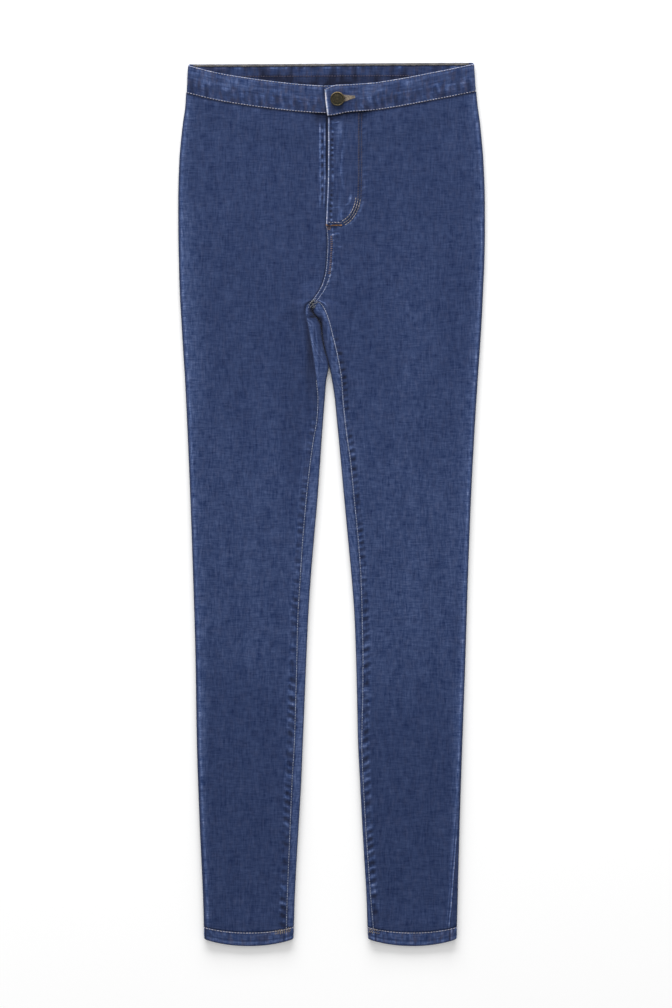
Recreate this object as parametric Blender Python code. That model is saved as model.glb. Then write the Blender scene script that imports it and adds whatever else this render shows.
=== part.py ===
"""A pair of high-waisted skinny jeans, laid out on their back with the front up.

All sizes are in millimetres. X runs to the wearer's left, Y from the hems up to
the waist, and Z up from the surface that the jeans lie on. "Down" is how far a
place lies below the top edge of the waistband at the back, and "aside" is how
far it lies from the middle, towards the leg that it belongs to.

Each leg is a flattened tube of denim. Its front panel lies on its back panel,
and the back panel wraps round both side folds: to the side seam on the outer
edge, and to the inner leg seam, which lies on the front.
"""

import math

import bmesh
import bpy
from mathutils import Vector

# ---------------------------------------------------------------- main sizes
LENGTH = 1047.0  # waistband's top edge at the back to the lowest hem
BAND_HEIGHT = 32.5
BAR_TACK_DOWN = 193.0  # the fly ends here
FLY_WIDTH = 38.5  # fold edge to the J-shaped stitching
FLY_BEND = 34.0  # the J turns in over this height
CROTCH_DOWN = 282.0
CROTCH_X = -22.4
SEAT_BENDS_FROM = 190.0  # the centre back seam runs straight down to here
HEM_CORNER = 1038.5  # down, where the hem meets the side folds
HEM_DIP = 8.5  # the hem hangs this much lower at the middle of the leg
HEM_TOP_DIP = 0.8  # the share of that by which its top edge does
HEM_ROUNDNESS = 2.2
BACK_HEM_DIP = 4.0
BACK_DIP = 0.9  # how far the waistband's top edge at the back leaves a level line
BUTTON_DIAMETER = 17.0
BUTTON_X = 6.9
BUTTON_DOWN = 44.4
SHANK_RADIUS = 2.3
EYELET_RADIUS = 2.8
SLIT_LENGTH = 19.0  # of the buttonhole, from the middle of its eyelet
SLIT_WIDTH = 0.9
SLIT_TILT = 8.0  # degrees
ZIP_CENTRE = 4.2
ZIP_START = 72.0  # down
ZIP_END = 188.0
CHAMFER = (-6.4, 9.0, 4.0)  # the top corner of the buttonhole's end: x, run and drop

# ------------------------------------------------------- cloth and its layers
DENIM = 1.2
DOUBLED = 2.0  # denim folded on itself, along the fly
BANDED = 2.4  # the waistband's and the hem's several layers
GAP = 0.3
HEM_GAP = 0.4
SIDE_SEAM_GAP = 0.36
LAY_HEIGHT = 3.6  # both layers of a leg, at its middle
BANDED_LAY = 5.0  # the same, next to the waistband and the hem, which are thicker
FLY_HEIGHT = 5.9
FOLD_HEIGHT = 6.2  # a side fold, which springs open a little
FOLD_RUN = 3.4  # how far in from the outline the fold is round
SHOULDER = 25.0  # over which a fold's height falls to the leg's
BANDED_REACH = 35.0  # and the waistband's and the hem's
LAP = 4.0  # the back panel reaches this far under the front, at the inseam
LAP_INSET = 1.8  # and lies this much lower there
LAP_BLEND = 2.6  # over which it comes up to the front's own height
UNDERLAP = 6.0  # the right front reaches this far under the left one's fold
UNDERLAP_ENDS = (172, 184)  # and no longer does so from here to here
SEAM_RIDGE = 0.6  # a felled seam stands this much proud
SEAM_RIDGE_WIDTH = 6.0
BAND_TOP = 5.6
BAND_UNDER_TOP = 5.3  # the button's end of the band
BAND_OVER_TOP = 8.0  # the buttonhole's end, which lies on it
BAND_FOLD_HEIGHT = 6.8
BAND_FOLD_RUN = 3.8
BAND_RIGHT = -170.9  # x of its folds, half way down it
BAND_LEFT = 169.8
HEM_TOP = 5.5
HEM_PROUD = 0.6
HEM_FOLD_RUN = 3.7
HEM_WAVES = 0.4  # the share of the legs' soft waves that a hem still has
TAPE_HALF = 12.0
TAPE_LOW = 1.5
TAPE_TOP = 2.1
CHAIN_HALF = 2.6
CHAIN_TOP = 3.3

# The outline: how far out the side folds lie on the wearer's right and left.
OUTLINE = (
    # down, right, left
    (0, 170.6, 169.3),
    (35, 172.4, 171.5),
    (52, 173.4, 173.1),
    (70, 176.0, 175.6),
    (92, 178.5, 177.9),
    (116, 180.5, 179.9),
    (163, 181.8, 181.7),
    (199, 181.7, 181.8),
    (234, 181.1, 181.2),
    (270, 180.1, 179.6),
    (305, 178.2, 178.0),
    (341, 176.0, 175.7),
    (376, 173.8, 173.3),
    (424, 171.4, 170.2),
    (519, 167.4, 165.2),
    (613, 164.1, 161.6),
    (708, 161.3, 158.6),
    (803, 159.8, 155.2),
    (898, 156.6, 152.0),
    (993, 152.3, 149.5),
    (1048, 150.8, 148.0),
)

# Below the crotch: each leg's inner fold, and the inseam on its front.
INNER_LEG = (
    # down, right fold, right seam, left fold, left seam
    (282.0, 22.7, 23.6, -22.2, -21.2),
    (284.6, 23.3, 27.8, -22.8, -14.8),
    (288.8, 23.8, 30.2, -23.3, -10.8),
    (295.9, 22.5, 30.9, -22.0, -7.0),
    (303.0, 16.9, 29.7, -16.4, -4.4),
    (311.0, 12.5, 28.0, -12.0, -2.0),
    (324.0, 11.3, 25.8, -10.8, 1.2),
    (341.0, 8.2, 22.8, -7.7, 5.4),
    (360.0, 3.4, 20.0, -2.8, 9.1),
    (377.0, 6.2, 17.8, 0.5, 11.6),
    (400.0, 8.1, 16.4, 3.9, 13.2),
    (424.0, 10.0, 17.8, 6.2, 15.6),
    (447.0, 11.7, 21.8, 8.5, 18.4),
    (471.0, 13.3, 25.2, 10.7, 21.9),
    (519.0, 16.8, 30.5, 15.1, 26.6),
    (566.0, 20.9, 34.5, 19.5, 31.2),
    (613.0, 24.8, 37.6, 23.9, 34.5),
    (661.0, 27.8, 40.4, 27.3, 35.9),
    (708.0, 29.9, 41.5, 29.0, 36.8),
    (756.0, 31.9, 42.8, 30.2, 36.4),
    (803.0, 33.9, 44.3, 31.2, 35.3),
    (850.0, 35.8, 47.0, 33.5, 36.9),
    (898.0, 38.5, 49.1, 36.0, 39.6),
    (945.0, 41.3, 51.0, 38.7, 42.7),
    (993.0, 43.7, 53.0, 41.5, 46.3),
    (1024.0, 44.6, 53.9, 42.5, 49.0),
    (1048.0, 45.3, 54.7, 43.8, 50.2),
)

# How far in from the outline the side seams lie, on the front.
SIDE_SEAM = (
    # down, right, left
    (0, 1.2, 1.0),
    (740, 1.2, 1.0),
    (880, 1.4, 1.6),
    (925, 1.6, 3.4),
    (968, 1.8, 5.6),
    (1000, 1.9, 7.2),
    (1024, 2.0, 8.9),
    (1048, 2.0, 8.4),
)

# The waistband's top edge on the front, which dips to the middle.
WAIST_FRONT = (
    # x, down
    (-172, 3.6),
    (-131, 13.2),
    (-76, 21.6),
    (-31, 26.4),
    (-8, 27.6),
    (11, 27.0),
    (38, 25.4),
    (77, 20.0),
    (115, 12.9),
    (172, 1.8),
)

# The centre front: the fly's fold edge, then the crotch seam. X, not aside.
CENTRE_FRONT = (
    # down, x
    (0, -4.9),
    (128, -4.9),
    (152, -5.5),
    (175, -6.3),
    (194, -6.7),
    (199, -5.5),
    (214, -4.6),
    (231, -5.3),
    (247, -6.7),
    (260, -9.9),
    (270, -14.3),
    (278, -19.7),
    (CROTCH_DOWN, CROTCH_X),
)

# ------------------------------------------------------------- how fine it is
# Rows of a panel, as "down" at the side seam.
LEG_ROWS = (
    (282, 284.6, 288.8, 295.9, 303, 311, 324, 341, 360, 377, 400, 424, 447, 471, 519, 566)
    + (613, 661, 708, 756, 803, 850, 898, 945, 980, 1005, 1023.7)
)
BACK_ROWS = (36.3, 46, 58, 72, 90, 110, 133, 145, 157, 181, 205, 229, 251, 269) + LEG_ROWS
FRONT_ROWS = (
    (36.3, 46, 58, 72, 90, 110, 133, 145, 157, 165, 173, 181, 189, 197, 205, 217)
    + (229, 240, 251, 260, 269, 276)
    + LEG_ROWS
)
FRONT_FROM_SIDE = (0, 0.3, 1.8, 8, 22)
FRONT_MIDDLE = 6
FRONT_FROM_SEAM = (16, 9, 6.5, 5, 2, 0)
FLY_COLUMNS = (38, 34.5, 31, 16, 3, 0)
FLY_COLUMNS_END = (190, 270)  # down, where they turn into the other ones
LAP_COLUMNS = (0, LAP, LAP + LAP_BLEND / 2, LAP + LAP_BLEND)
FLAT_STEPS = 6
FOLD_STEPS = 16  # of a back's side folds, before its columns are spaced along them
WRAP_STEPS = 7
UNDER_STEPS = 5
OUTER_STEPS = 6
BAND_UNDER_X = (27.0, 20.0, 11.0, 2.0, -6.0, -12.0, -20.0)
BAND_OVER_X = (52.0, 44.0, 36.0, 28.0, 18.0, 8.0, 0.0, -3.0)
BAND_STEPS = (10, 8, 12, 8, 7)  # right front, right fold, back, left fold, left front
OVER_COLUMNS = 12  # of the waistband, from its buttonhole's end
BAND_ROWS = 4
HEM_ROWS = 2
HEM_STEPS = (12, 8, 8)  # top, each fold, underneath
BUTTONHOLE_STEPS = 14
BUTTON_STEPS = 28
WAIST_CURVE_ENDS = 200.0  # by this far down, the rows of the front run level
HEM_CURVE_STARTS = 940.0

COLOURS = {
    "denim": (0.036, 0.056, 0.132, 1),
    "denim band": (0.045, 0.068, 0.15, 1),
    "zip tape": (0.012, 0.018, 0.05, 1),
    "antique brass": (0.09, 0.075, 0.045, 1),
}


# --------------------------------------------------------------- small helpers
def ease(t):
    """0 before 0, 1 after 1, and smooth between."""
    t = min(max(t, 0.0), 1.0)
    return t * t * (3 - 2 * t)


def curve_through(rows, column):
    """A smooth function of the first column that passes through another one."""
    at = [float(row[0]) for row in rows]
    value = [float(row[column]) for row in rows]
    slope = [(value[i + 1] - value[i]) / (at[i + 1] - at[i]) for i in range(len(at) - 1)]
    tangent = [slope[0]]
    for before, after in zip(slope, slope[1:]):
        turning = before * after <= 0
        tangent.append(0.0 if turning else 2 * before * after / (before + after))
    tangent.append(slope[-1])

    def read(x):
        x = min(max(x, at[0]), at[-1])
        i = max(k for k in range(len(at) - 1) if at[k] <= x)
        step = at[i + 1] - at[i]
        t = (x - at[i]) / step
        return (
            value[i] * (1 + 2 * t) * (1 - t) ** 2
            + tangent[i] * step * t * (1 - t) ** 2
            + value[i + 1] * t * t * (3 - 2 * t)
            + tangent[i + 1] * step * t * t * (t - 1)
        )

    return read


def along(path, distances):
    """Points of a polyline at these distances from its start."""
    lengths = [0.0]
    for a, b in zip(path, path[1:]):
        lengths.append(lengths[-1] + math.dist(a, b))
    points = []
    for d in distances:
        d = min(max(d, 0.0), lengths[-1])
        i = max(k for k in range(len(path) - 1) if lengths[k] <= d)
        t = (d - lengths[i]) / max(lengths[i + 1] - lengths[i], 1e-9)
        points.append(tuple(p + (q - p) * t for p, q in zip(path[i], path[i + 1])))
    return points


def length_of(path):
    return sum(math.dist(a, b) for a, b in zip(path, path[1:]))


def inset(path, depth_at):
    """A polyline of (x, z) moved to its right hand, by a depth for each length."""
    moved, run = [], 0.0
    for i, (x, z) in enumerate(path):
        before, after = path[max(i - 1, 0)], path[min(i + 1, len(path) - 1)]
        dx, dz = after[0] - before[0], after[1] - before[1]
        size = math.hypot(dx, dz)
        if i:
            run += math.dist(path[i - 1], path[i])
        depth = depth_at(run)
        moved.append((x + dz / size * depth, z - dx / size * depth))
    return moved


centre_front = curve_through(CENTRE_FRONT, 1)
waist_front = curve_through(WAIST_FRONT, 1)


class Leg:
    """One leg's outline and seams. side is -1 for the wearer's right, 1 for the left."""

    def __init__(self, side):
        self.side = side
        left = side > 0
        self.outer = curve_through(OUTLINE, 2 if left else 1)
        self.inner = curve_through(INNER_LEG, 3 if left else 1)
        self.inseam = curve_through(INNER_LEG, 4 if left else 2)
        self.side_seam = curve_through(SIDE_SEAM, 2 if left else 1)

    def front_edge(self, down):
        """Aside of the front panel's inner edge: centre front, then inseam."""
        if down < CROTCH_DOWN:
            return centre_front(down) * self.side + GAP / 2
        return self.inseam(down)

    def across(self, aside, down):
        """-1 at the leg's inner fold, 1 at its outer one."""
        inner, outer = self.inner(down), self.outer(down)
        return min(max(2 * (aside - inner) / (outer - inner) - 1, -1.0), 1.0)

    def skin_height(self, aside, down):
        """Height of the top skin, before seams and the fly raise or lower it."""
        x = aside * self.side
        from_outer = max(self.outer(down) - aside, 0.0)
        lift = 1 - ease((from_outer - FOLD_RUN) / SHOULDER)
        roundness = fold_roundness(from_outer)
        if down >= CROTCH_DOWN:
            from_inner = max(aside - self.inner(down), 0.0)
            roundness = min(roundness, fold_roundness(from_inner))
            from_seam = max(aside - self.inseam(down), 0.0)
        else:
            from_seam = math.hypot(x - CROTCH_X, down - CROTCH_DOWN)
        lift = math.hypot(lift, 1 - ease(from_seam / SHOULDER))
        at_fly = near_fly(x, down)
        at_band = 1 - ease((down - waist_front(x) - BAND_HEIGHT) / BANDED_REACH)
        at_hem = ease((down - FRONT_ROWS[-1] + BANDED_REACH) / BANDED_REACH)
        lay = LAY_HEIGHT + (BANDED_LAY - LAY_HEIGHT) * max(at_band, at_hem) * (1 - at_fly)
        height = lay + (FOLD_HEIGHT - lay) * min(lift, 1.0)
        height += soft_waves(x, down) * (1 - max(at_fly, at_band, at_hem))
        half = FOLD_HEIGHT / 2
        return half + (height - half) * roundness


def fold_roundness(distance):
    """0 on the outline and 1 where the fold's round stretch ends."""
    left = 1 - min(distance / FOLD_RUN, 1.0)
    return math.sqrt(max(1 - left * left, 0.0))


def soft_waves(x, down):
    """The long shallow waves that the upper layer keeps when it is smoothed out."""
    long_wave = math.sin(down / 61 + 0.9 * math.sin(x / 70))
    cross_wave = math.sin(x / 23 + down / 140)
    return 0.28 * long_wave + 0.14 * cross_wave


def near_fly(x, down):
    """1 where the zip, the right front's edge and the fly lie on each other."""
    aside = (abs(x - 8) - 22) / 18
    return (1 - ease(aside)) * (1 - ease((down - BAR_TACK_DOWN) / 20))


def overlap_droop(x):
    """The lower edge of the buttoned end hangs a little lower than the rest."""
    return 3.5 * (1 - ease((x - centre_front(60)) / 30))


def top_share(height):
    """1 for cloth on top, 0 for cloth on the floor, and between them on a side fold."""
    return ease((height - 0.8) / (FOLD_HEIGHT - 2.4))


def front_down(leg, aside, row):
    """Where a row of the front lies at this place: curved at the waist and hem."""
    x = aside * leg.side
    waist = 1 - ease((row - FRONT_ROWS[0]) / (WAIST_CURVE_ENDS - FRONT_ROWS[0]))
    drop = waist_front(x) + BAND_HEIGHT + GAP - FRONT_ROWS[0]
    if leg.side > 0:
        drop += overlap_droop(x)
    hem = ease((row - HEM_CURVE_STARTS) / (FRONT_ROWS[-1] - HEM_CURVE_STARTS))
    sag = HEM_DIP * HEM_TOP_DIP * (1 - abs(leg.across(aside, row)) ** HEM_ROUNDNESS)
    return row + drop * waist + sag * hem


def fly_cover(x, down):
    """1 on the fly's doubled cloth, inside the J-shaped stitching, and 0 off it."""
    reach = FLY_WIDTH
    if down > BAR_TACK_DOWN - FLY_BEND:
        t = min((down - BAR_TACK_DOWN + FLY_BEND) / FLY_BEND, 1.0)
        reach = FLY_WIDTH * math.sqrt(max(1 - t * t, 0.0))
    return 1 - ease((x - centre_front(down) - reach) / 4.0 + 0.5)


def fly_fade(down, start=189.0, end=205.0):
    """1 along the fly, falling to 0 at the bar tack."""
    return 1 - ease((down - start) / (end - start))


# ------------------------------------------------------------------ mesh tools
def clear_scene():
    for thing in list(bpy.data.objects):
        bpy.data.objects.remove(thing)


def material(name, roughness=0.9, metallic=0.0):
    made = bpy.data.materials.get(name) or bpy.data.materials.new(name)
    made.use_nodes = True
    shader = made.node_tree.nodes["Principled BSDF"]
    shader.inputs["Base Color"].default_value = COLOURS[name]
    shader.inputs["Roughness"].default_value = roughness
    shader.inputs["Metallic"].default_value = metallic
    return made


def place(x, down, z):
    """A point in metres. The hems are at -Y, and the middle of the length is 0."""
    return Vector((x, LENGTH / 2 - down, z)) * 0.001


def add_object(name, mesh, finish):
    made = bpy.data.objects.new(name, mesh)
    bpy.context.scene.collection.objects.link(made)
    made.data.materials.append(finish)
    return made


def cloth(name, grid, finish, thickness, kept=None, ring=False, flip=False):
    """A wall of cloth. grid is rows of (point, share of the thickness) for its outer skin."""
    rows, columns = len(grid), len(grid[0])
    mesh = bpy.data.meshes.new(name)
    last = columns if ring else columns - 1
    used = {}
    points, faces, shares = [], [], []

    def corner(i, j):
        key = (i, j % columns)
        if key not in used:
            used[key] = len(points)
            point, share = grid[key[0]][key[1]]
            points.append(point)
            shares.append(share)
        return used[key]

    for i in range(rows - 1):
        for j in range(last):
            if kept and not kept(i, j):
                continue
            face = [corner(i, j), corner(i, j + 1), corner(i + 1, j + 1), corner(i + 1, j)]
            faces.append(face[::-1] if flip else face)
    mesh.from_pydata(points, [], faces)
    made = add_object(name, mesh, finish)
    mesh.shade_smooth()
    group = made.vertex_groups.new(name="thickness")
    for i, share in enumerate(shares):
        group.add([i], share, "REPLACE")
    wall = made.modifiers.new("wall", "SOLIDIFY")
    wall.thickness = thickness * 0.001
    wall.offset = -1
    wall.use_even_offset = True
    wall.vertex_group = group.name
    return made


# ---------------------------------------------------------------- front panels
def front_asides(leg, row):
    """The columns of a front panel at one row, from the side seam to the inner edge."""
    side = leg.outer(row) - leg.side_seam(row)
    end = leg.front_edge(row)
    inner_columns = FRONT_FROM_SEAM
    if leg.side > 0:
        start, end_of_fly = FLY_COLUMNS_END
        fly = 1 - ease((row - start) / (end_of_fly - start))
        inner_columns = [s + (f - s) * fly for s, f in zip(FRONT_FROM_SEAM, FLY_COLUMNS)]
    first = [side - d for d in FRONT_FROM_SIDE]
    last = [end + d for d in inner_columns]
    span = last[0] - first[-1]
    middle = [first[-1] + span * k / (FRONT_MIDDLE + 1) for k in range(1, FRONT_MIDDLE + 1)]
    return first + middle + last


def front_panel(leg, finish):
    """One front, from the waistband to the hem. The left one carries the fly."""
    grid = []
    left = leg.side > 0
    for row in FRONT_ROWS:
        line = []
        asides = front_asides(leg, row)
        edge = asides[-1]
        for aside in asides:
            down = front_down(leg, aside, row)
            x = aside * leg.side
            height = leg.skin_height(aside, row)
            from_edge = aside - edge
            share = DENIM / DOUBLED
            fly = fly_fade(down)
            ridge = SEAM_RIDGE * (1 - ease((from_edge - SEAM_RIDGE_WIDTH + 1) / 1.5))
            if left:
                cover = fly_cover(x, down)
                height += (FLY_HEIGHT - height) * cover * fly
                share += (1 - share) * cover * fly
                height += ridge * (1 - fly)
            else:
                if down > CROTCH_DOWN:
                    height += ridge
                tucked = fly_fade(down, *UNDERLAP_ENDS) * (1 - ease(from_edge / UNDERLAP))
                aside -= UNDERLAP * tucked
            line.append((place(aside * leg.side, down, height), share))
        grid.append(line)
    name = "front_left" if left else "front_right"
    return cloth(name, grid, finish, DOUBLED, flip=not left)


# ----------------------------------------------------------------- back panels
def inner_wrap(leg, row):
    """(aside, height) from under the front's inseam, round the inner fold, to the floor."""
    seam, fold = leg.inseam(row), leg.inner(row)
    path = []
    flat = seam + LAP - (fold + FOLD_RUN)
    for k in range(FLAT_STEPS):
        aside = seam + LAP - flat * k / FLAT_STEPS
        path.append((aside, leg.skin_height(aside, row)))
    top = leg.skin_height(fold + FOLD_RUN, row)
    half = FOLD_HEIGHT / 2
    for k in range(FOLD_STEPS + 1):
        angle = math.radians(90 - 180 * k / FOLD_STEPS)
        reach = (top - half) if angle > 0 else half
        aside = fold + FOLD_RUN * (1 - math.cos(angle))
        path.append((aside, half + reach * math.sin(angle)))

    def depth(run):
        return LAP_INSET * (1 - ease((run - LAP) / LAP_BLEND))

    # The path runs towards smaller asides over the top, so its right hand is outside.
    return inset(path, lambda run: -depth(run))


def outer_wrap(leg, row):
    """(aside, height) from the floor, round the outer fold, to the side seam."""
    fold, seam = leg.outer(row), leg.side_seam(row)
    half = FOLD_HEIGHT / 2
    path = []
    for k in range(FOLD_STEPS + 1):
        angle = math.radians(-90 + 180 * k / FOLD_STEPS)
        aside = fold - FOLD_RUN * (1 - math.cos(angle))
        if angle > 0 and fold - aside >= seam:
            break
        height = leg.skin_height(aside, row) if angle > 0 else half + half * math.sin(angle)
        path.append((aside, height))
    start = fold - path[-1][0]
    for k in range(1, 4):
        aside = fold - (start + (seam - start) * k / 3)
        path.append((aside, leg.skin_height(aside, row)))
    return path


def back_columns(leg, row):
    """The outer skin of a back panel at one row, from under the inseam to the side seam."""
    if row >= CROTCH_DOWN:
        wrap = inner_wrap(leg, row)
        total = length_of(wrap)
        first = list(LAP_COLUMNS)
        rest = [first[-1] + (total - first[-1]) * k / WRAP_STEPS for k in range(1, WRAP_STEPS + 1)]
        inner = along(wrap, first + rest)
    else:
        centre = CROTCH_X * ease((row - SEAT_BENDS_FROM) / (CROTCH_DOWN - SEAT_BENDS_FROM))
        inner = [(centre * leg.side + GAP / 2, 0.0)] * (len(LAP_COLUMNS) + WRAP_STEPS)
    wrap = outer_wrap(leg, row)
    total = length_of(wrap) - SIDE_SEAM_GAP
    steps = [(total - GAP) * k / OUTER_STEPS for k in range(OUTER_STEPS + 1)]
    outer = along(wrap, steps + [total])
    a, b = inner[-1][0], outer[0][0]
    under = [(a + (b - a) * k / UNDER_STEPS, 0.0) for k in range(1, UNDER_STEPS)]
    return inner + under + outer


def back_down(leg, aside, row):
    """Where a row of the back lies: level, with a shallow curve at the hem."""
    hem = ease((row - HEM_CURVE_STARTS) / (BACK_ROWS[-1] - HEM_CURVE_STARTS))
    return row + BACK_HEM_DIP * hem * (1 - leg.across(aside, row) ** 2)


def back_panel(leg, finish):
    """One back, with the hook that forms the inside of the thigh below the crotch."""
    grid = []
    for row in BACK_ROWS:
        line = []
        for k, (aside, height) in enumerate(back_columns(leg, row)):
            top = top_share(height)
            down = front_down(leg, aside, row) * top + back_down(leg, aside, row) * (1 - top)
            line.append((place(aside * leg.side, down, height), 1.0))
        grid.append(line)
    hook = len(LAP_COLUMNS) - 1 + WRAP_STEPS

    def kept(i, j):
        return j >= hook or BACK_ROWS[i] >= CROTCH_DOWN

    name = "back_left" if leg.side > 0 else "back_right"
    return cloth(name, grid, finish, DENIM, kept=kept, flip=leg.side < 0)


# ------------------------------------------------------------------------ hems
def hem(leg, finish):
    """The turned-up hem: a flattened ring of three layers at the end of the leg."""
    grid = []
    top_edge = FRONT_ROWS[-1] + HEM_GAP
    half = (FOLD_HEIGHT + HEM_PROUD) / 2
    run = HEM_FOLD_RUN
    over, round_fold, beneath = HEM_STEPS
    for k in range(HEM_ROWS + 1):
        row = top_edge + (HEM_CORNER - top_edge) * k / HEM_ROWS
        fold_in, fold_out = leg.inner(row), leg.outer(row)
        a, b = fold_in + run, fold_out - run
        line = []
        for step in range(over + 1):
            aside = b + (a - b) * step / over
            near = 1 - ease((min(aside - fold_in, fold_out - aside) - run) / SHOULDER)
            height = HEM_TOP + (2 * half - HEM_TOP) * near
            height += HEM_WAVES * soft_waves(aside * leg.side, row)
            line.append((aside, height))
        top_in, top_out = line[-1][1], line[0][1]
        for step in range(1, round_fold):
            angle = math.radians(90 - 180 * step / round_fold)
            reach = top_in - half if angle > 0 else half
            line.append((a - run * math.cos(angle), half + reach * math.sin(angle)))
        for step in range(beneath + 1):
            line.append((a + (b - a) * step / beneath, 0.0))
        for step in range(1, round_fold):
            angle = math.radians(-90 + 180 * step / round_fold)
            reach = top_out - half if angle > 0 else half
            line.append((b + run * math.cos(angle), half + reach * math.sin(angle)))
        share = k / HEM_ROWS
        grid.append([(place(x * leg.side, hem_down(leg, x, z, share), z), 1.0) for x, z in line])
    name = "hem_left" if leg.side > 0 else "hem_right"
    return cloth(name, grid, finish, BANDED, ring=True, flip=leg.side < 0)


def hem_down(leg, aside, height, share):
    """Down of a point of the hem: share is 0 at its top edge and 1 at its bottom."""
    top = top_share(height)
    row = FRONT_ROWS[-1]
    first = front_down(leg, aside, row) * top + back_down(leg, aside, row) * (1 - top) + HEM_GAP
    across = abs(leg.across(aside, HEM_CORNER))
    last = HEM_DIP * (1 - across**HEM_ROUNDNESS) * top + BACK_HEM_DIP * (1 - across**2) * (1 - top)
    return first + (HEM_CORNER + last - first) * share


# ------------------------------------------------------------------- waistband
def band_profile():
    """(x, height) of the band's outer skin, from its button end round to the other."""
    right, left, run = BAND_RIGHT, BAND_LEFT, BAND_FOLD_RUN
    half = BAND_FOLD_HEIGHT / 2
    fold_edge = centre_front(60) - 1.5
    flat = BAND_TOP
    front_right, right_fold, back, left_fold, front_left = BAND_STEPS
    path = []
    for x in BAND_UNDER_X:
        path.append((x, BAND_UNDER_TOP + (flat - BAND_UNDER_TOP) * ease(-x / 24)))
    first = BAND_UNDER_X[-1]
    for k in range(1, front_right + 1):
        x = first + (right + run - first) * k / front_right
        near = 1 - ease((x - right - run) / SHOULDER)
        path.append((x, flat + (BAND_FOLD_HEIGHT - flat) * near))
    for k in range(1, right_fold):
        angle = math.radians(90 - 180 * k / right_fold)
        path.append((right + run - run * math.cos(angle), half + half * math.sin(angle)))
    for k in range(back + 1):
        x = right + run + (left - right - 2 * run) * k / back
        path.append((x, 0.0))
    for k in range(1, left_fold):
        angle = math.radians(-90 + 180 * k / left_fold)
        path.append((left - run + run * math.cos(angle), half + half * math.sin(angle)))
    for k in range(front_left + 1):
        x = left - run + (60 - left + run) * k / front_left
        near = 1 - ease((left - run - x) / SHOULDER)
        path.append((x, flat + (BAND_FOLD_HEIGHT - flat) * near))
    for x in (*BAND_OVER_X, fold_edge):
        path.append((x, flat + (BAND_OVER_TOP - flat) * (1 - ease((x - 30) / 24))))
    return path


def band_down(x, front, share):
    """Down of a point of the band: share is 0 at its top edge and 1 at its bottom."""
    back_top = BACK_DIP * (1 - math.sin(x / 110))
    top = waist_front(x) * front + back_top * (1 - front)
    bottom = (waist_front(x) + BAND_HEIGHT) * front + (FRONT_ROWS[0] - GAP) * (1 - front)
    return top + (bottom - top) * share


def waistband(finish):
    """One long strip of doubled denim, open at the front, its ends lying on each other."""
    profile = band_profile()
    legs = (Leg(-1), Leg(1))
    grid = []
    for i in range(BAND_ROWS + 1):
        share = i / BAND_ROWS
        line = []
        for j, (x, z) in enumerate(profile):
            outer = legs[x > 0].outer
            front = top_share(z)
            x *= outer(band_down(x, front, share)) / outer(BAND_HEIGHT / 2)
            down = band_down(x, front, share)
            if len(profile) - j <= OVER_COLUMNS:
                down += overlap_droop(x) * share
                corner = 1 - ease((x - CHAMFER[0]) / CHAMFER[1])
                down += CHAMFER[2] * corner * (1 - share) ** 4
            line.append((place(x, down, z), 1.0))
        grid.append(line)
    made = cloth("waistband", grid, finish, BANDED)
    cut = made.modifiers.new("buttonhole", "BOOLEAN")
    cut.object = buttonhole_cutter()
    cut.operation = "DIFFERENCE"
    return made


# -------------------------------------------------------------- button and zip
def buttonhole_cutter():
    """A keyhole: a round eyelet for the button's shank, and a narrow slit beside it."""
    outline = []
    opening = math.asin(SLIT_WIDTH / 2 / EYELET_RADIUS)
    for k in range(BUTTONHOLE_STEPS + 1):
        angle = opening + (2 * math.pi - 2 * opening) * k / BUTTONHOLE_STEPS
        outline.append((EYELET_RADIUS * math.cos(angle), EYELET_RADIUS * math.sin(angle)))
    outline.append((SLIT_LENGTH, -SLIT_WIDTH / 2))
    outline.append((SLIT_LENGTH, SLIT_WIDTH / 2))
    tilt = math.radians(SLIT_TILT)
    shape = bmesh.new()
    corners = []
    for x, y in outline:
        turned_x = x * math.cos(tilt) - y * math.sin(tilt)
        turned_y = x * math.sin(tilt) + y * math.cos(tilt)
        corners.append(shape.verts.new(place(BUTTON_X + turned_x, BUTTON_DOWN - turned_y, 5.43)))
    face = shape.faces.new(corners)
    top = bmesh.ops.extrude_face_region(shape, geom=[face])
    raised = [v for v in top["geom"] if isinstance(v, bmesh.types.BMVert)]
    bmesh.ops.translate(shape, verts=raised, vec=(0, 0, 0.004))
    bmesh.ops.recalc_face_normals(shape, faces=shape.faces)
    mesh = bpy.data.meshes.new("buttonhole_cutter")
    shape.to_mesh(mesh)
    shape.free()
    cutter = bpy.data.objects.new("buttonhole_cutter", mesh)
    bpy.context.scene.collection.objects.link(cutter)
    cutter.hide_render = True
    cutter.display_type = "WIRE"
    return cutter


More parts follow.
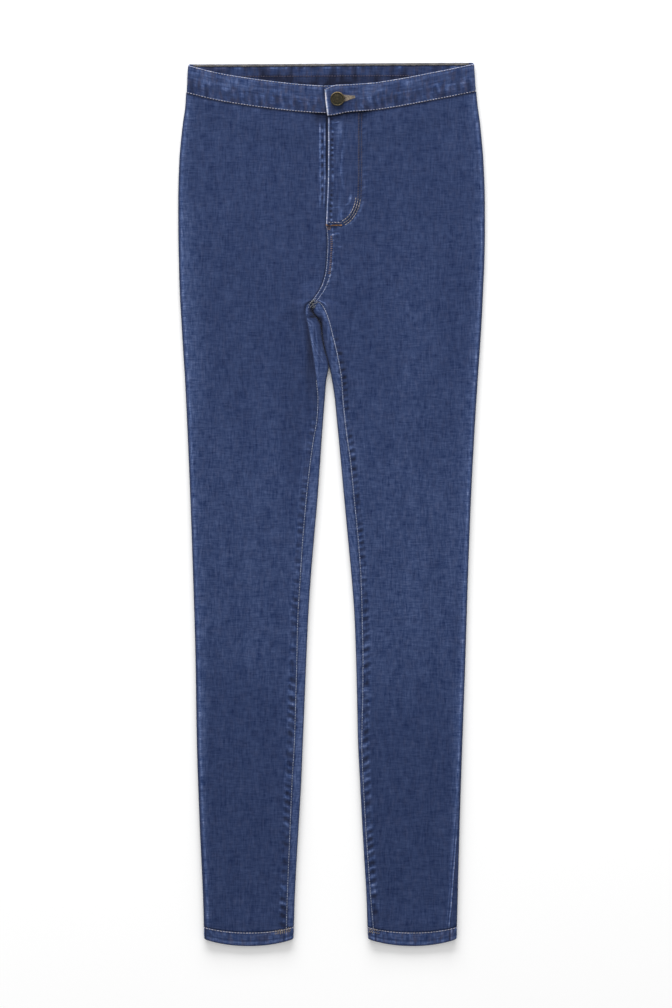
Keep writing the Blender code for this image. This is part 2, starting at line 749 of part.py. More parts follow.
def button(finish):
    """A jeans button: a flat cap with a raised rim, on a shank through the buttonhole."""
    radius = BUTTON_DIAMETER / 2
    base = BAND_OVER_TOP + GAP
    under = BAND_UNDER_TOP + GAP
    profile = (
        (0.0, base + 2.6),
        (4.8, base + 2.5),
        (6.0, base + 2.3),
        (6.6, base + 2.9),
        (7.4, base + 3.1),
        (8.1, base + 2.8),
        (radius, base + 2.0),
        (radius - 0.2, base + 0.9),
        (7.4, base + 0.3),
        (SHANK_RADIUS + 0.5, base + 0.3),
        (SHANK_RADIUS, base - 0.2),
        (SHANK_RADIUS, under),
        (0.0, under),
    )
    shape = bmesh.new()
    ring = [shape.verts.new((r * 0.001, 0, z * 0.001)) for r, z in profile]
    edges = [shape.edges.new(pair) for pair in zip(ring, ring[1:])]
    bmesh.ops.spin(
        shape,
        geom=ring + edges,
        cent=(0, 0, 0),
        axis=(0, 0, 1),
        angle=math.tau,
        steps=BUTTON_STEPS,
        use_merge=True,
    )
    bmesh.ops.remove_doubles(shape, verts=shape.verts, dist=1e-6)
    bmesh.ops.recalc_face_normals(shape, faces=shape.faces)
    mesh = bpy.data.meshes.new("button")
    shape.to_mesh(mesh)
    shape.free()
    made = add_object("button", mesh, finish)
    mesh.shade_smooth()
    mesh.set_sharp_from_angle(angle=math.radians(40))
    made.location = place(BUTTON_X, BUTTON_DOWN, 0)
    return made


def zip_strip(finish):
    """The closed zip behind the fly: its tape, with the chain of teeth as one ridge."""
    section = (
        (-TAPE_HALF, TAPE_LOW),
        (TAPE_HALF, TAPE_LOW),
        (TAPE_HALF, TAPE_TOP),
        (CHAIN_HALF + 0.4, TAPE_TOP),
        (CHAIN_HALF, CHAIN_TOP),
        (-CHAIN_HALF, CHAIN_TOP),
        (-CHAIN_HALF - 0.4, TAPE_TOP),
        (-TAPE_HALF, TAPE_TOP),
    )
    shape = bmesh.new()
    loop = [shape.verts.new(place(ZIP_CENTRE + x, ZIP_START, z)) for x, z in section]
    face = shape.faces.new(loop)
    grown = bmesh.ops.extrude_face_region(shape, geom=[face])
    moved = [v for v in grown["geom"] if isinstance(v, bmesh.types.BMVert)]
    bmesh.ops.translate(shape, verts=moved, vec=(0, (ZIP_START - ZIP_END) * 0.001, 0))
    bmesh.ops.recalc_face_normals(shape, faces=shape.faces)
    mesh = bpy.data.meshes.new("zip")
    shape.to_mesh(mesh)
    shape.free()
    return add_object("zip", mesh, finish)


# ---------------------------------------------------------------------- jeans
def build():
    clear_scene()
    denim = material("denim")
    band = material("denim band")
    for leg in (Leg(-1), Leg(1)):
        front_panel(leg, denim)
        back_panel(leg, denim)
        hem(leg, band)
    waistband(band)
    button(material("antique brass", roughness=0.4, metallic=1.0))
    zip_strip(material("zip tape"))


build()
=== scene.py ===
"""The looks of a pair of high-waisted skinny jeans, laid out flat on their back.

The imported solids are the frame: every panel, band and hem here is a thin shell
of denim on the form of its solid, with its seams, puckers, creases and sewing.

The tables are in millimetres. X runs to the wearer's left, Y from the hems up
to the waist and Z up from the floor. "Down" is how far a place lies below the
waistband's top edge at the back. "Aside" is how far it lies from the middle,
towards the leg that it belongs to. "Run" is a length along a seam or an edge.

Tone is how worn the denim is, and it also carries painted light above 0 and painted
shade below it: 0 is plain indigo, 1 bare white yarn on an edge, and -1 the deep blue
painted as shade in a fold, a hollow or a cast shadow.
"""

import math

import bmesh
import bpy
import numpy as np
from bpy.props import FloatProperty, FloatVectorProperty, IntProperty, PointerProperty
from mathutils import Matrix, Vector


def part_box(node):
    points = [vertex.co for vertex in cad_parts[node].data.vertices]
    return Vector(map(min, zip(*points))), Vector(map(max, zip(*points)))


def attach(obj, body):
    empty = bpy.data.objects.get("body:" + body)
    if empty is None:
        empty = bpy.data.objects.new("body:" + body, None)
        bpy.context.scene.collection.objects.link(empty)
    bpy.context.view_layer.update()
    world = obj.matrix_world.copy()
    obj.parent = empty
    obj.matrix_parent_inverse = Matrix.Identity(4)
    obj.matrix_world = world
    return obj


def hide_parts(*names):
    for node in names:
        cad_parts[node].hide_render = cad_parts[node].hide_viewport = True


bl_info = {
    "name": "Skinny jeans, laid flat",
    "version": (1, 0, 0),
    "blender": (4, 5, 0),
    "location": "3D View > Sidebar > Jeans",
    "description": "Makes the denim shells, sewing, button and zip of a pair of skinny jeans",
    "category": "Object",
}

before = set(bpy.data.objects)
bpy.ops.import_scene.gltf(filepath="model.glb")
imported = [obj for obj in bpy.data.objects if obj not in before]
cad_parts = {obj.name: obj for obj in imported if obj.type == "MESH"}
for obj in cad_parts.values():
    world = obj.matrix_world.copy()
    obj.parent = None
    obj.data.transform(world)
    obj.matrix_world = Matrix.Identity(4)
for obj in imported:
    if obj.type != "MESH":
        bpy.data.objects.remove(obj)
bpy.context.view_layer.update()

# ---- the form of the solids
WAIST_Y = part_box("waistband")[1].y * 1000  # the waistband's top edge at the back
BAND_HEIGHT = 32.5
BAR_TACK_DOWN = 193.0
FLY_WIDTH = 38.5
FLY_BEND = 34.0
CROTCH_DOWN = 282.0
CROTCH_X = -22.4
HIP_DOWN = 200.0  # the backs are widest here
SEAT_REACH = 30.0  # the cloth of a back past the middle, on to its hook at the crotch
SEAT_BENDS_FROM = 190.0  # the seam down the middle of the seat runs straight to here
HEM_CORNER = 1038.5
HEM_DIP = 8.5
HEM_TOP_DIP = 0.8
HEM_ROUNDNESS = 2.2
BACK_HEM_DIP = 4.0
CHAMFER = (-8.0, 13.5, 5.4)  # the top corner of the buttonhole's end: x, run and drop
END_LEAN = 1.6  # how far that end leans out at its top, and in at its foot

DENIM = 1.2  # how thick one layer of cloth is,
DOUBLED = 2.0  # two of them, pressed together,
BANDED = 2.3  # and the waistband and the hems
GAP = 0.3  # between two pieces
HEM_GAP = 0.4
LAY_HEIGHT = 3.6  # of the top skin in the middle of a leg,
BANDED_LAY = 5.0  # beside the waistband and the hems,
FLY_HEIGHT = 5.9  # on the fly,
FOLD_HEIGHT = 6.2  # and along the side folds
FOLD_RUN = 3.4  # how far in from the outline a fold is round
SHOULDER = 25.0  # how far it takes from there to come down to the middle's height
BANDED_REACH = 35.0  # how far the waistband and the hems hold the cloth up
LAP = 4.0  # how far a back runs in under the front's inseam,
LAP_INSET = 0.8  # and how much lower it lies there
EDGE_THICKNESS = 0.35  # the share of a doubled wall that is left at a felled edge
LAP_BLEND = 2.6
UNDERLAP = 6.0  # how far the right front runs in under the fly
SEAM_RIDGE = 0.6  # how far a felled seam stands up
SEAM_RIDGE_WIDTH = 6.0
BAND_TOP = 5.6  # height of the waistband on the front,
BAND_UNDER_TOP = 5.3  # at its button's end,
BAND_OVER_TOP = 8.0  # at its buttonhole's end, which lies on that,
BAND_FOLD_HEIGHT = 6.8  # and at the side folds
BAND_RIGHT = -170.9
BAND_LEFT = 169.8
BAND_FOLD_RUN = 3.8
BAND_UNDER_END = 27.0
OVERLAP_DROOP = 3.5  # how much lower the buttoned end hangs than the rest
FLY_TOP_DOWN = 60.0  # where the fly comes out from under the waistband
HEM_TOP = 5.5
HEM_PROUD = 0.6
FIRST_ROW = 36.3  # the panels' first row, under the waistband
LAST_ROW = 1023.7  # and their last, above the hem
WAIST_CURVE_ENDS = 200.0
HEM_CURVE_STARTS = 940.0
UNDERSIDE = 0.15  # the shells' underside, so that the thread under it clears the floor
J_ROWS = (36.8, 40.2)  # how far the J's rows of thread lie from the fly's fold
J_CURVE_ROWS = (34.4, 37.2, 40.0)
J_BENDS_FROM = 158.0
J_FOOT = 12.0  # where the rows would end, were they not held by the bar tack
VALLEY_CLOSING = 0.2  # the inner thighs press on each other above the gap

BUTTON_X = 6.9
BUTTON_DOWN = 44.4
BUTTON_RADIUS = 8.5
SHANK_RADIUS = 2.3
EYELET_RADIUS = 2.8
SLIT_LENGTH = 19.0
SLIT_WIDTH = 0.9
SLIT_TILT = math.radians(8)

# The outline: how far out the side folds lie on the wearer's right and left.
OUTLINE = (
    # down, right, left
    (0, 170.6, 169.3),
    (35, 172.4, 171.5),
    (52, 173.4, 173.1),
    (70, 176, 175.6),
    (92, 178.5, 177.9),
    (116, 180.5, 179.9),
    (163, 181.8, 181.7),
    (199, 181.7, 181.8),
    (234, 181.1, 181.2),
    (270, 180.1, 179.6),
    (305, 178.2, 178),
    (341, 176, 175.7),
    (376, 173.8, 173.3),
    (424, 171.4, 170.2),
    (519, 167.4, 165.2),
    (613, 164.1, 161.6),
    (708, 161.3, 158.6),
    (803, 159.8, 155.2),
    (898, 156.6, 152),
    (993, 152.3, 149.5),
    (1048, 150.8, 148),
)

# Below the crotch: each leg's inner fold, and the inseam on its front.
INNER_LEG = (
    # down, right fold, right seam, left fold, left seam
    (282, 22.7, 23.6, -22.2, -21.2),
    (284.6, 23.3, 27.8, -22.8, -14.8),
    (288.8, 23.8, 30.2, -23.3, -10.8),
    (295.9, 22.5, 30.9, -22, -7),
    (303, 16.9, 29.7, -16.4, -4.4),
    (311, 12.5, 28, -12, -2),
    (324, 11.3, 25.8, -10.8, 1.2),
    (341, 8.2, 22.8, -7.7, 5.4),
    (360, 3.4, 20, -2.8, 9.1),
    (377, 6.2, 17.8, 0.5, 11.6),
    (400, 8.1, 15.8, 3.9, 13.2),
    (424, 10, 17.2, 6.2, 15.6),
    (447, 11.7, 21.2, 8.5, 18.4),
    (471, 13.3, 24.6, 10.7, 21.9),
    (519, 16.8, 29.9, 15.1, 26.6),
    (566, 20.9, 33.9, 19.5, 31.2),
    (613, 24.8, 37, 23.9, 34.5),
    (661, 27.8, 39.8, 27.3, 35.9),
    (708, 29.9, 40.9, 29, 36.8),
    (756, 31.9, 42.2, 30.2, 36.4),
    (803, 33.9, 43.7, 31.2, 35.3),
    (850, 35.8, 46.4, 33.5, 36.9),
    (898, 38.5, 48.5, 36, 39.6),
    (945, 41.3, 50.4, 38.7, 42.7),
    (993, 43.7, 52.4, 41.5, 46.3),
    (1024, 44.6, 53.3, 42.5, 49),
    (1048, 45.3, 54.1, 43.8, 50.2),
)

# How far in from the outline the side seams lie, on the front.
SIDE_SEAM = (
    # down, right, left
    (0, 1.2, 1),
    (740, 1.2, 1),
    (880, 1.4, 1.6),
    (925, 1.6, 3.4),
    (968, 1.8, 5.6),
    (1000, 1.9, 7.2),
    (1024, 2, 8.9),
    (1048, 2, 8.4),
)

# The waistband's top edge on the front, which dips to the middle.
WAIST_FRONT = (
    # x, down
    (-172, 3.6),
    (-131, 13.2),
    (-76, 21.6),
    (-31, 26.4),
    (-8, 27.6),
    (11, 27),
    (38, 25.4),
    (77, 20),
    (115, 12.9),
    (172, 1.8),
)

# The centre front: the fly's fold edge, then the crotch seam. X, not aside.
CENTRE_FRONT = (
    # down, x
    (0, -4.9),
    (128, -4.9),
    (152, -5.5),
    (175, -6.3),
    (194, -6.7),
    (199, -5.5),
    (214, -4.6),
    (231, -5.3),
    (247, -6.7),
    (260, -9.9),
    (270, -14.3),
    (278, -19.7),
    (CROTCH_DOWN, CROTCH_X),
)

# ---- creases and shades
# Creases on the fronts: soft ridges, and troughs where the height is below 0.
CREASES = (
    # x, down, half length, half width, turn in degrees, height
    (3.6, 203, 7, 1, 16, 0.40),
    (4.5, 208, 5, 1.3, 12, -0.30),
    (2.2, 201.5, 3.5, 0.8, 14, -0.25),
    (13, 216, 12, 3.2, -48, -0.20),
    (-10.5, 213, 9, 2.6, 62, 0.18),
    (-16, 236, 14, 3.4, 58, -0.20),
    (12, 246, 17, 4, -66, 0.14),
    (-30, 268, 16, 4.2, 52, 0.18),
    (-40, 283, 17, 3.8, 47, -0.20),
    (-47, 306, 22, 5, 60, 0.15),
    (6, 276, 13, 3.2, -40, 0.16),
    (17, 292, 20, 4.2, -52, -0.16),
    (26, 316, 24, 5, -63, 0.14),
    (-120, 78, 26, 5, 24, 0.12),
    (-82, 96, 30, 6.5, 14, -0.12),
    (92, 84, 28, 6, -16, 0.12),
    (126, 112, 24, 5.5, -30, -0.10),
    (-148, 182, 34, 6, 78, 0.10),
    (150, 206, 36, 6, -80, 0.10),
    (-96, 352, 46, 8, 68, -0.10),
    (98, 392, 50, 8, -72, 0.10),
    (-88, 566, 32, 6.5, 28, 0.12),
    (-104, 590, 30, 5.5, 20, -0.12),
    (104, 574, 34, 6.5, -24, 0.12),
    (88, 603, 28, 5.5, -14, -0.12),
    (-118, 742, 40, 6, 76, 0.10),
    (112, 768, 44, 6.5, -78, -0.10),
    (-92, 925, 24, 5, 30, 0.12),
    (98, 941, 26, 5, -26, 0.12),
    (-70, 1004, 15, 3.2, 18, -0.14),
    (74, 1010, 16, 3.2, -20, -0.14),
)

# Streaks on the fronts, turned like the creases: pale worn ones, painted light on
# crease ridges and painted shadow in crease troughs.
STREAKS = (
    # x, down, half length, half width, turn in degrees, tone
    (4.8, 203.4, 8, 0.9, 16, 0.34),
    (3.4, 199.2, 4, 0.9, 20, 0.26),
    (5, 208, 5, 1.2, 12, -0.34),
    (2.4, 201.4, 3.5, 0.8, 16, -0.34),
    (9.2, 218.6, 5, 0.9, 8, 0.13),
    (8.4, 211.6, 5, 0.9, 10, 0.12),
    (7, 226, 4, 1, 4, -0.10),
    (16, 192, 9, 2.2, 34, 0.12),
    (25, 182, 6, 1.6, 52, 0.15),
    (21, 160, 6, 1.3, 64, 0.13),
    (27, 96, 12, 1.6, 88, 0.05),
    (14, 120, 40, 3.4, 89, 0.06),
    (7.2, 71.2, 6, 0.9, 4, 0.32),
    (11.4, 84, 10, 1.3, 86, 0.20),
    (5, 171.8, 8, 0.9, 0, 0.18),
    (22.3, 161.5, 5, 1.6, 72, 0.30),
    (18.6, 168, 5, 1.4, 42, 0.20),
    (11.3, 178.5, 9, 1.4, 88, 0.22),
    (-1, 189, 3.2, 1.2, 80, 0.42),
    (11.5, 120, 34, 1.6, 89, 0.10),
    (-137, 62, 20, 1.2, -10, 0.05),
)

# Creases on the underside, pressed shallow by the floor, in the columns of CREASES.
BACK_CREASES = (
    (-60, 190, 40, 6, -24, 0.30),
    (66, 204, 42, 6, 22, 0.30),
    (-84, 262, 52, 7, -30, 0.26),
    (92, 274, 50, 7, 28, 0.26),
    (-44, 330, 34, 5, -52, 0.32),
    (48, 338, 36, 5, 50, 0.32),
    (-98, 548, 42, 5, 8, 0.34),
    (-90, 574, 36, 4.5, -10, 0.28),
    (96, 556, 44, 5, -8, 0.34),
    (88, 583, 34, 4.5, 12, 0.28),
    (-96, 812, 38, 5.5, 70, 0.24),
    (94, 830, 40, 5.5, -70, 0.24),
)

# Painted shade in the hollows, and painted light on the bulges where the depth is below 0, under
# the knot where the four panels meet.
KNUCKLE_SHADES = (
    # x, down, half width, half length, depth
    (-23.4, 293.6, 4, 4.6, 2.2),
    (-22.8, 301.2, 7, 2.6, 2.4),
    (-17.4, 292.4, 5, 5.4, -0.26),
    (-9, 302, 4.6, 7.5, -0.16),
    (-20, 311, 4, 6, -0.08),
    (-13.4, 305, 4, 5.4, 2.4),
    (-12.2, 312, 2, 6, 1.2),
    (-26.5, 295.5, 1.6, 5, 0.5),
)

# Broad soft changes of tone on the fronts: mostly painted shade, as under the waistband
# and in the hollows by the crotch, and a few paler patches.
SHADES = (
    # x, down, half width, half length, tone
    (-26.5, 355, 7.5, 66, -0.46),
    (-45, 298, 10, 34, -0.22),
    (13, 372, 5.5, 34, -0.22),
    (18, 128, 13, 45, -0.08),
    (-44, 400, 18, 120, -0.10),
    (18, 64, 30, 8, -0.26),
    (-14, 64, 12, 11, -0.64),
    (28, 140, 5, 60, -0.06),
    (-85, 440, 28, 150, 0.006),
    (92, 300, 32, 150, 0.024),
    (-38, 160, 24, 110, -0.030),
    (50, 105, 24, 50, -0.030),
    (-100, 660, 34, 90, 0.008),
    (98, 640, 30, 90, 0.010),
    (62, 1012, 22, 8, -0.18),
    (-60, 1012, 22, 8, -0.12),
)


# ---- small helpers
def ease(t):
    """0 before 0, 1 after 1, and smooth between."""
    t = np.clip(t, 0.0, 1.0)
    return t * t * (3 - 2 * t)


def hump(t):
    """1 at 0, falling smoothly to almost nothing by 1.5 either way."""
    return np.exp(-2.2 * np.square(t))


def rise(place, start, length):
    """0 up to the start, and from there smoothly up to 1 over this length."""
    return ease((place - start) / length)


def fall(place, start, length):
    """1 up to the start, and from there smoothly down to 0 over this length."""
    return 1 - rise(place, start, length)


def stripe(place, middle, width):
    """A soft stripe: 1 on its middle, almost nothing 1.5 widths to either side of it."""
    return hump((place - middle) / width)


def clipped(value):
    """The value, held between 0 and 1."""
    return np.clip(value, 0, 1)


def run_along(path):
    """How far along a path each of its points lies."""
    return np.concatenate([[0], np.cumsum(np.linalg.norm(np.diff(path, axis=0), axis=1))])


def outward_of(tangent):
    """The unit direction out of a skin from the direction of its path."""
    tangent = tangent / np.linalg.norm(tangent, axis=1)[:, None]
    return np.stack([tangent[:, 1], -tangent[:, 0]], axis=1)


def curve_through(rows, column):
    """A smooth function of the first column that passes through another one."""
    at = np.array([row[0] for row in rows], float)
    value = np.array([row[column] for row in rows], float)
    step = np.diff(at)
    slope = np.diff(value) / step
    before, after = slope[:-1], slope[1:]
    turning = before * after <= 0
    total = np.where(turning, 1.0, before + after)
    between = np.where(turning, 0.0, 2 * before * after / total)
    tangent = np.concatenate([slope[:1], between, slope[-1:]])

    def read(x):
        x = np.clip(x, at[0], at[-1])
        i = np.clip(np.searchsorted(at, x, side="right") - 1, 0, len(at) - 2)
        t = (x - at[i]) / step[i]
        return (
            value[i] * (1 + 2 * t) * (1 - t) ** 2
            + tangent[i] * step[i] * t * (1 - t) ** 2
            + value[i + 1] * t * t * (3 - 2 * t)
            + tangent[i + 1] * step[i] * t * t * (t - 1)
        )

    return read


def uneven_wave(run, period, seed):
    """A wave from -1 to 1 whose period and height wander, as hand-guided sewing does."""
    wander = 1.5 * np.sin(run / (2.7 * period) + seed)
    wander = wander + 0.9 * np.sin(run / (1.1 * period) + 2 * seed)
    height = 0.68 + 0.32 * np.sin(run / (1.9 * period) + 3.1 * seed)
    return height * np.sin(2 * math.pi * run / period + wander)


def cloud(u, v, spot_u, spot_v, seed):
    """Smooth unevenness from -1 to 1, in spots of about this size."""
    lattice = np.random.default_rng(seed).uniform(-1, 1, (97, 89))
    u, v = np.broadcast_arrays(u / spot_u, v / spot_v)
    i, j = np.floor(u).astype(int), np.floor(v).astype(int)
    a, b = ease(u - i), ease(v - j)
    i, j, over, under = i % 97, j % 89, (i + 1) % 97, (j + 1) % 89
    near = lattice[i, j] * (1 - b) + lattice[i, under] * b
    return near * (1 - a) + (lattice[over, j] * (1 - b) + lattice[over, under] * b) * a


def marks(table, x, down):
    """The sum of soft round or streaky spots: (x, down, half width, half length, amount)."""
    total = np.zeros(np.broadcast(x, down).shape)
    for at_x, at_down, half_width, half_length, amount in table:
        total += amount * hump((x - at_x) / half_width) * hump((down - at_down) / half_length)
    return total


def creases(table, x, down):
    """The height of the creases: each a soft ridge or trough along its own direction."""
    total = np.zeros(np.broadcast(x, down).shape)
    for at_x, at_down, half_length, half_width, turn, height in table:
        c, s = math.cos(math.radians(turn)), math.sin(math.radians(turn))
        right, up = x - at_x, at_down - down
        along = right * c + up * s
        bend = 0.12 * half_length * np.square(along / half_length)
        across = up * c - right * s + bend
        total += height * hump(along / half_length) * hump(across / half_width)
    return total


# ---- the form of the legs
centre_front = curve_through(CENTRE_FRONT, 1)
waist_front = curve_through(WAIST_FRONT, 1)


def seat_centre(down):
    """X of the seam down the middle of the seat, which bends to the crotch."""
    return CROTCH_X * rise(down, SEAT_BENDS_FROM, CROTCH_DOWN - SEAT_BENDS_FROM)


def under_band(x, down, leg):
    """How far below the waistband's lower edge a place on a front lies."""
    return down - waist_front(x) - BAND_HEIGHT - (overlap_droop(x) if leg.side > 0 else 0)


class Leg:
    """One leg's outline and seams. side is -1 for the wearer's right, 1 for the left."""

    def __init__(self, side):
        self.side = side
        left = side > 0
        self.name = "left" if left else "right"
        self.outer = curve_through(OUTLINE, 2 if left else 1)
        self.inner_fold = curve_through(INNER_LEG, 3 if left else 1)
        self.inseam = curve_through(INNER_LEG, 4 if left else 2)
        self.side_seam = curve_through(SIDE_SEAM, 2 if left else 1)

    def inner(self, down):
        """Aside of the inner fold. Above the gap the two thighs all but touch."""
        return self.inner_fold(down) - VALLEY_CLOSING * fall(down, 350, 14)

    def front_edge(self, down):
        """Aside of the front panel's inner edge: centre front, then inseam."""
        above = centre_front(down) * self.side + GAP / 2
        return np.where(down < CROTCH_DOWN, above, self.inseam(down))

    def across(self, aside, down):
        """-1 at the leg's inner fold, 1 at its outer one."""
        inner, outer = self.inner(down), self.outer(down)
        return np.clip(2 * (aside - inner) / (outer - inner) - 1, -1.0, 1.0)

    def skin_height(self, aside, down):
        """Height of the top skin, before seams and the fly raise or lower it."""
        x = aside * self.side
        below = down >= CROTCH_DOWN
        from_outer = np.maximum(self.outer(down) - aside, 0.0)
        from_inner = np.maximum(aside - self.inner(down), 0.0)
        roundness = fold_roundness(from_outer)
        roundness = np.where(below, np.minimum(roundness, fold_roundness(from_inner)), roundness)
        from_seam = np.where(
            below,
            np.maximum(aside - self.inseam(down), 0.0),
            np.hypot(x - CROTCH_X, down - CROTCH_DOWN),
        )
        lift = fall(from_outer, FOLD_RUN, SHOULDER)
        lift = np.minimum(np.hypot(lift, 1 - ease(from_seam / SHOULDER)), 1.0)
        at_fly = near_fly(x, down)
        at_band = fall(down - waist_front(x), BAND_HEIGHT, BANDED_REACH)
        at_hem = rise(down, LAST_ROW - BANDED_REACH, BANDED_REACH)
        at_ends = np.maximum(at_band, at_hem)
        lay = LAY_HEIGHT + (BANDED_LAY - LAY_HEIGHT) * at_ends * (1 - at_fly)
        height = lay + (FOLD_HEIGHT - lay) * lift
        height = height + soft_waves(x, down) * (1 - np.maximum(at_fly, at_ends))
        half = FOLD_HEIGHT / 2
        return half + (height - half) * roundness


LEGS = (Leg(-1), Leg(1))


def fold_roundness(distance):
    """0 on the outline and 1 where the fold's round stretch ends."""
    left = 1 - np.minimum(distance / FOLD_RUN, 1.0)
    return np.sqrt(np.maximum(1 - left * left, 0.0))


def soft_waves(x, down):
    """The long shallow waves that the upper layer keeps when it is smoothed out."""
    long_wave = np.sin(down / 61 + 0.9 * np.sin(x / 70))
    cross_wave = np.sin(x / 23 + down / 140)
    return 0.28 * long_wave + 0.14 * cross_wave


def near_fly(x, down):
    """1 where the zip, the right front's edge and the fly lie on each other."""
    aside = (np.abs(x - 8) - 22) / 18
    return (1 - ease(aside)) * fall(down, BAR_TACK_DOWN, 20)


def overlap_droop(x):
    """The lower edge of the buttoned end hangs a little lower than the rest."""
    return OVERLAP_DROOP * fall(x - centre_front(FLY_TOP_DOWN), 0, 30)


def top_share(height):
    """1 for cloth on top, 0 for cloth on the floor, and between them on a side fold."""
    return rise(height, 0.8, FOLD_HEIGHT - 2.4)


def hem_share(row):
    """How much a row curves as the hem does: 0 up the leg, 1 at the hem."""
    return rise(row, HEM_CURVE_STARTS, LAST_ROW - HEM_CURVE_STARTS)


def front_down(leg, aside, row):
    """Where a row of the front lies at this place: curved at the waist and hem."""
    x = aside * leg.side
    waist = fall(row, FIRST_ROW, WAIST_CURVE_ENDS - FIRST_ROW)
    drop = waist_front(x) + BAND_HEIGHT + GAP - FIRST_ROW
    if leg.side > 0:
        drop = drop + overlap_droop(x)
    sag = HEM_DIP * HEM_TOP_DIP * (1 - np.abs(leg.across(aside, row)) ** HEM_ROUNDNESS)
    return row + drop * waist + sag * hem_share(row)


def back_down(leg, aside, row):
    """Where a row of the back lies: level, with a shallow curve at the hem."""
    return row + BACK_HEM_DIP * hem_share(row) * (1 - leg.across(aside, row) ** 2)


def j_reach(down, width=FLY_WIDTH, bend=FLY_BEND, end=BAR_TACK_DOWN):
    """How far the J-shaped edge of the fly lies from its fold."""
    t = np.clip((down - end + bend) / bend, 0.0, 1.0)
    return width * np.sqrt(1 - t * t)


def j_row(down, width):
    """How far a row of the J lies from the fly's fold. It bends towards the bar tack."""
    bend = FLY_BEND + width - J_ROWS[0]
    return J_FOOT + j_reach(down, width - J_FOOT, bend, J_BENDS_FROM + bend)


def fly_fade(down, start=189.0, end=205.0):
    """1 along the fly, falling to 0 at the bar tack."""
    return fall(down, start, end - start)


# ---- the settings
def length_setting(name, description, default):
    """A size in metres that the sidebar shows in the scene's own unit."""
    return FloatProperty(
        name=name, description=description, default=default, min=0.0, unit="LENGTH", precision=5
    )


def colour_setting(name, description, default):
    """A colour as linear light."""
    return FloatVectorProperty(
        name=name, description=description, default=default, subtype="COLOR", size=3, min=0, max=1
    )


class JeansCloth(bpy.types.PropertyGroup):
    """The denim and how its seams pucker."""

    row_spacing: length_setting("Row spacing", "Length of the mesh's faces along the leg", 0.002)
    back_spacing: length_setting("Back row spacing", "The same on the back panels", 0.0026)
    pucker: length_setting("Seam pucker", "Height of the ripples beside a sewn seam", 0.00026)
    trench: length_setting("Stitch trench", "How deep the thread pulls the cloth in", 0.00026)
    weave_depth: length_setting("Weave depth", "Height of the twill and its slubs", 0.00005)
    indigo: colour_setting("Indigo", "The denim's plain colour", (0.0192, 0.0346, 0.0980))
    # Faded indigo and worn yarn come in where the tone is above 0: real wear, and also painted
    # light on ridges and crests.
    faded: colour_setting("Faded indigo", "Where it is a little worn", (0.070, 0.110, 0.250))
    worn: colour_setting("Worn yarn", "Where the dye has rubbed off an edge", (0.46, 0.49, 0.60))
    # Deep indigo is painted shade: tone below 0 mixes it in for folds, hollows, slits and cast
    # shadows.
    deep: colour_setting("Deep indigo", "The dye that stays in a fold", (0.0050, 0.0080, 0.026))
    rust: colour_setting("Rust tint", "Brownish dye in thick seams", (0.042, 0.036, 0.060))
    inside: colour_setting("Wrong side", "The weft side of the denim", (0.060, 0.080, 0.150))


class JeansThread(bpy.types.PropertyGroup):
    """The sewing."""

    pitch: length_setting("Stitch length", "From one stitch to the next", 0.0031)
    width: length_setting("Thread width", "Width of the topstitching thread", 0.00085)
    seed: IntProperty(name="Seed", description="Fixes the unevenness of the sewing", default=7)
    pale: colour_setting("Pale thread", "Rows along the waistband and the hems", (0.44, 0.43, 0.54))
    lilac: colour_setting("Lilac thread", "Rows along the inseams", (0.39, 0.43, 0.57))
    sand: colour_setting("Sand thread", "The curve of the J, and the seat", (0.50, 0.45, 0.43))
    tan: colour_setting("Tan thread", "The bar tack", (0.42, 0.20, 0.07))
    beige: colour_setting("Beige thread", "The buttonhole, the hems' knots", (0.34, 0.27, 0.19))
    brown: colour_setting("Brown thread", "The crotch seam's rungs", (0.19, 0.125, 0.14))
    plum: colour_setting("Plum thread", "The straight rows of the J", (0.062, 0.043, 0.072))
    grey: colour_setting("Grey thread", "The knot at the crotch", (0.17, 0.18, 0.19))
    olive: colour_setting("Olive thread", "The back's top edge", (0.19, 0.175, 0.160))
    violet: colour_setting("Violet thread", "The row inside the back", (0.05, 0.03, 0.08))


THREAD_COLOURS = "pale lilac sand tan beige brown plum grey olive violet".split()


class JeansMetal(bpy.types.PropertyGroup):
    """The button and the zip."""

    rim_width: length_setting("Rim width", "Width of the button's raised rim", 0.0017)
    tooth_pitch: length_setting("Tooth pitch", "From one tooth of the zip to the next", 0.0025)
    brass: colour_setting("Antique brass", "The metal in its hollows", (0.030, 0.028, 0.018))
    rubbed: colour_setting("Rubbed brass", "The metal on its edges", (0.30, 0.22, 0.12))
    tape: colour_setting("Zip tape", "The woven tape", (0.012, 0.018, 0.05))


class JeansStage(bpy.types.PropertyGroup):
    """The floor, the light and the camera."""

    shown_width: length_setting("Shown width", "How much of the floor the picture takes in", 0.7963)
    centre_x: FloatProperty(name="Centre X", description="Middle of the picture", default=0.00525)
    centre_y: FloatProperty(name="Centre Y", description="Middle of the picture", default=0.0002)
    lens: FloatProperty(name="Lens", description="Focal length in millimetres", default=85.0)
    sky: FloatProperty(name="Sky", description="Strength of the light from all round", default=0.70)
    lamp: FloatProperty(name="Lamp", description="Power of the soft lamp in watts", default=230.0)
    floor: colour_setting("Floor", "The pale floor", (0.97, 0.97, 0.97))


SETTINGS = {
    "jeans_cloth": JeansCloth,
    "jeans_thread": JeansThread,
    "jeans_metal": JeansMetal,
    "jeans_stage": JeansStage,
}


def mm(metres):
    """A setting in millimetres."""
    return metres * 1000


# ---- materials
def add(tree, kind, inputs=None, **settings):
    """A new node. An input is either a value or the socket that feeds it."""
    made = tree.nodes.new(kind)
    for name, value in settings.items():
        setattr(made, name, value)
    for key, value in (inputs or {}).items():
        if isinstance(value, bpy.types.NodeSocket):
            tree.links.new(value, made.inputs[key])
        else:
            made.inputs[key].default_value = value
    return made


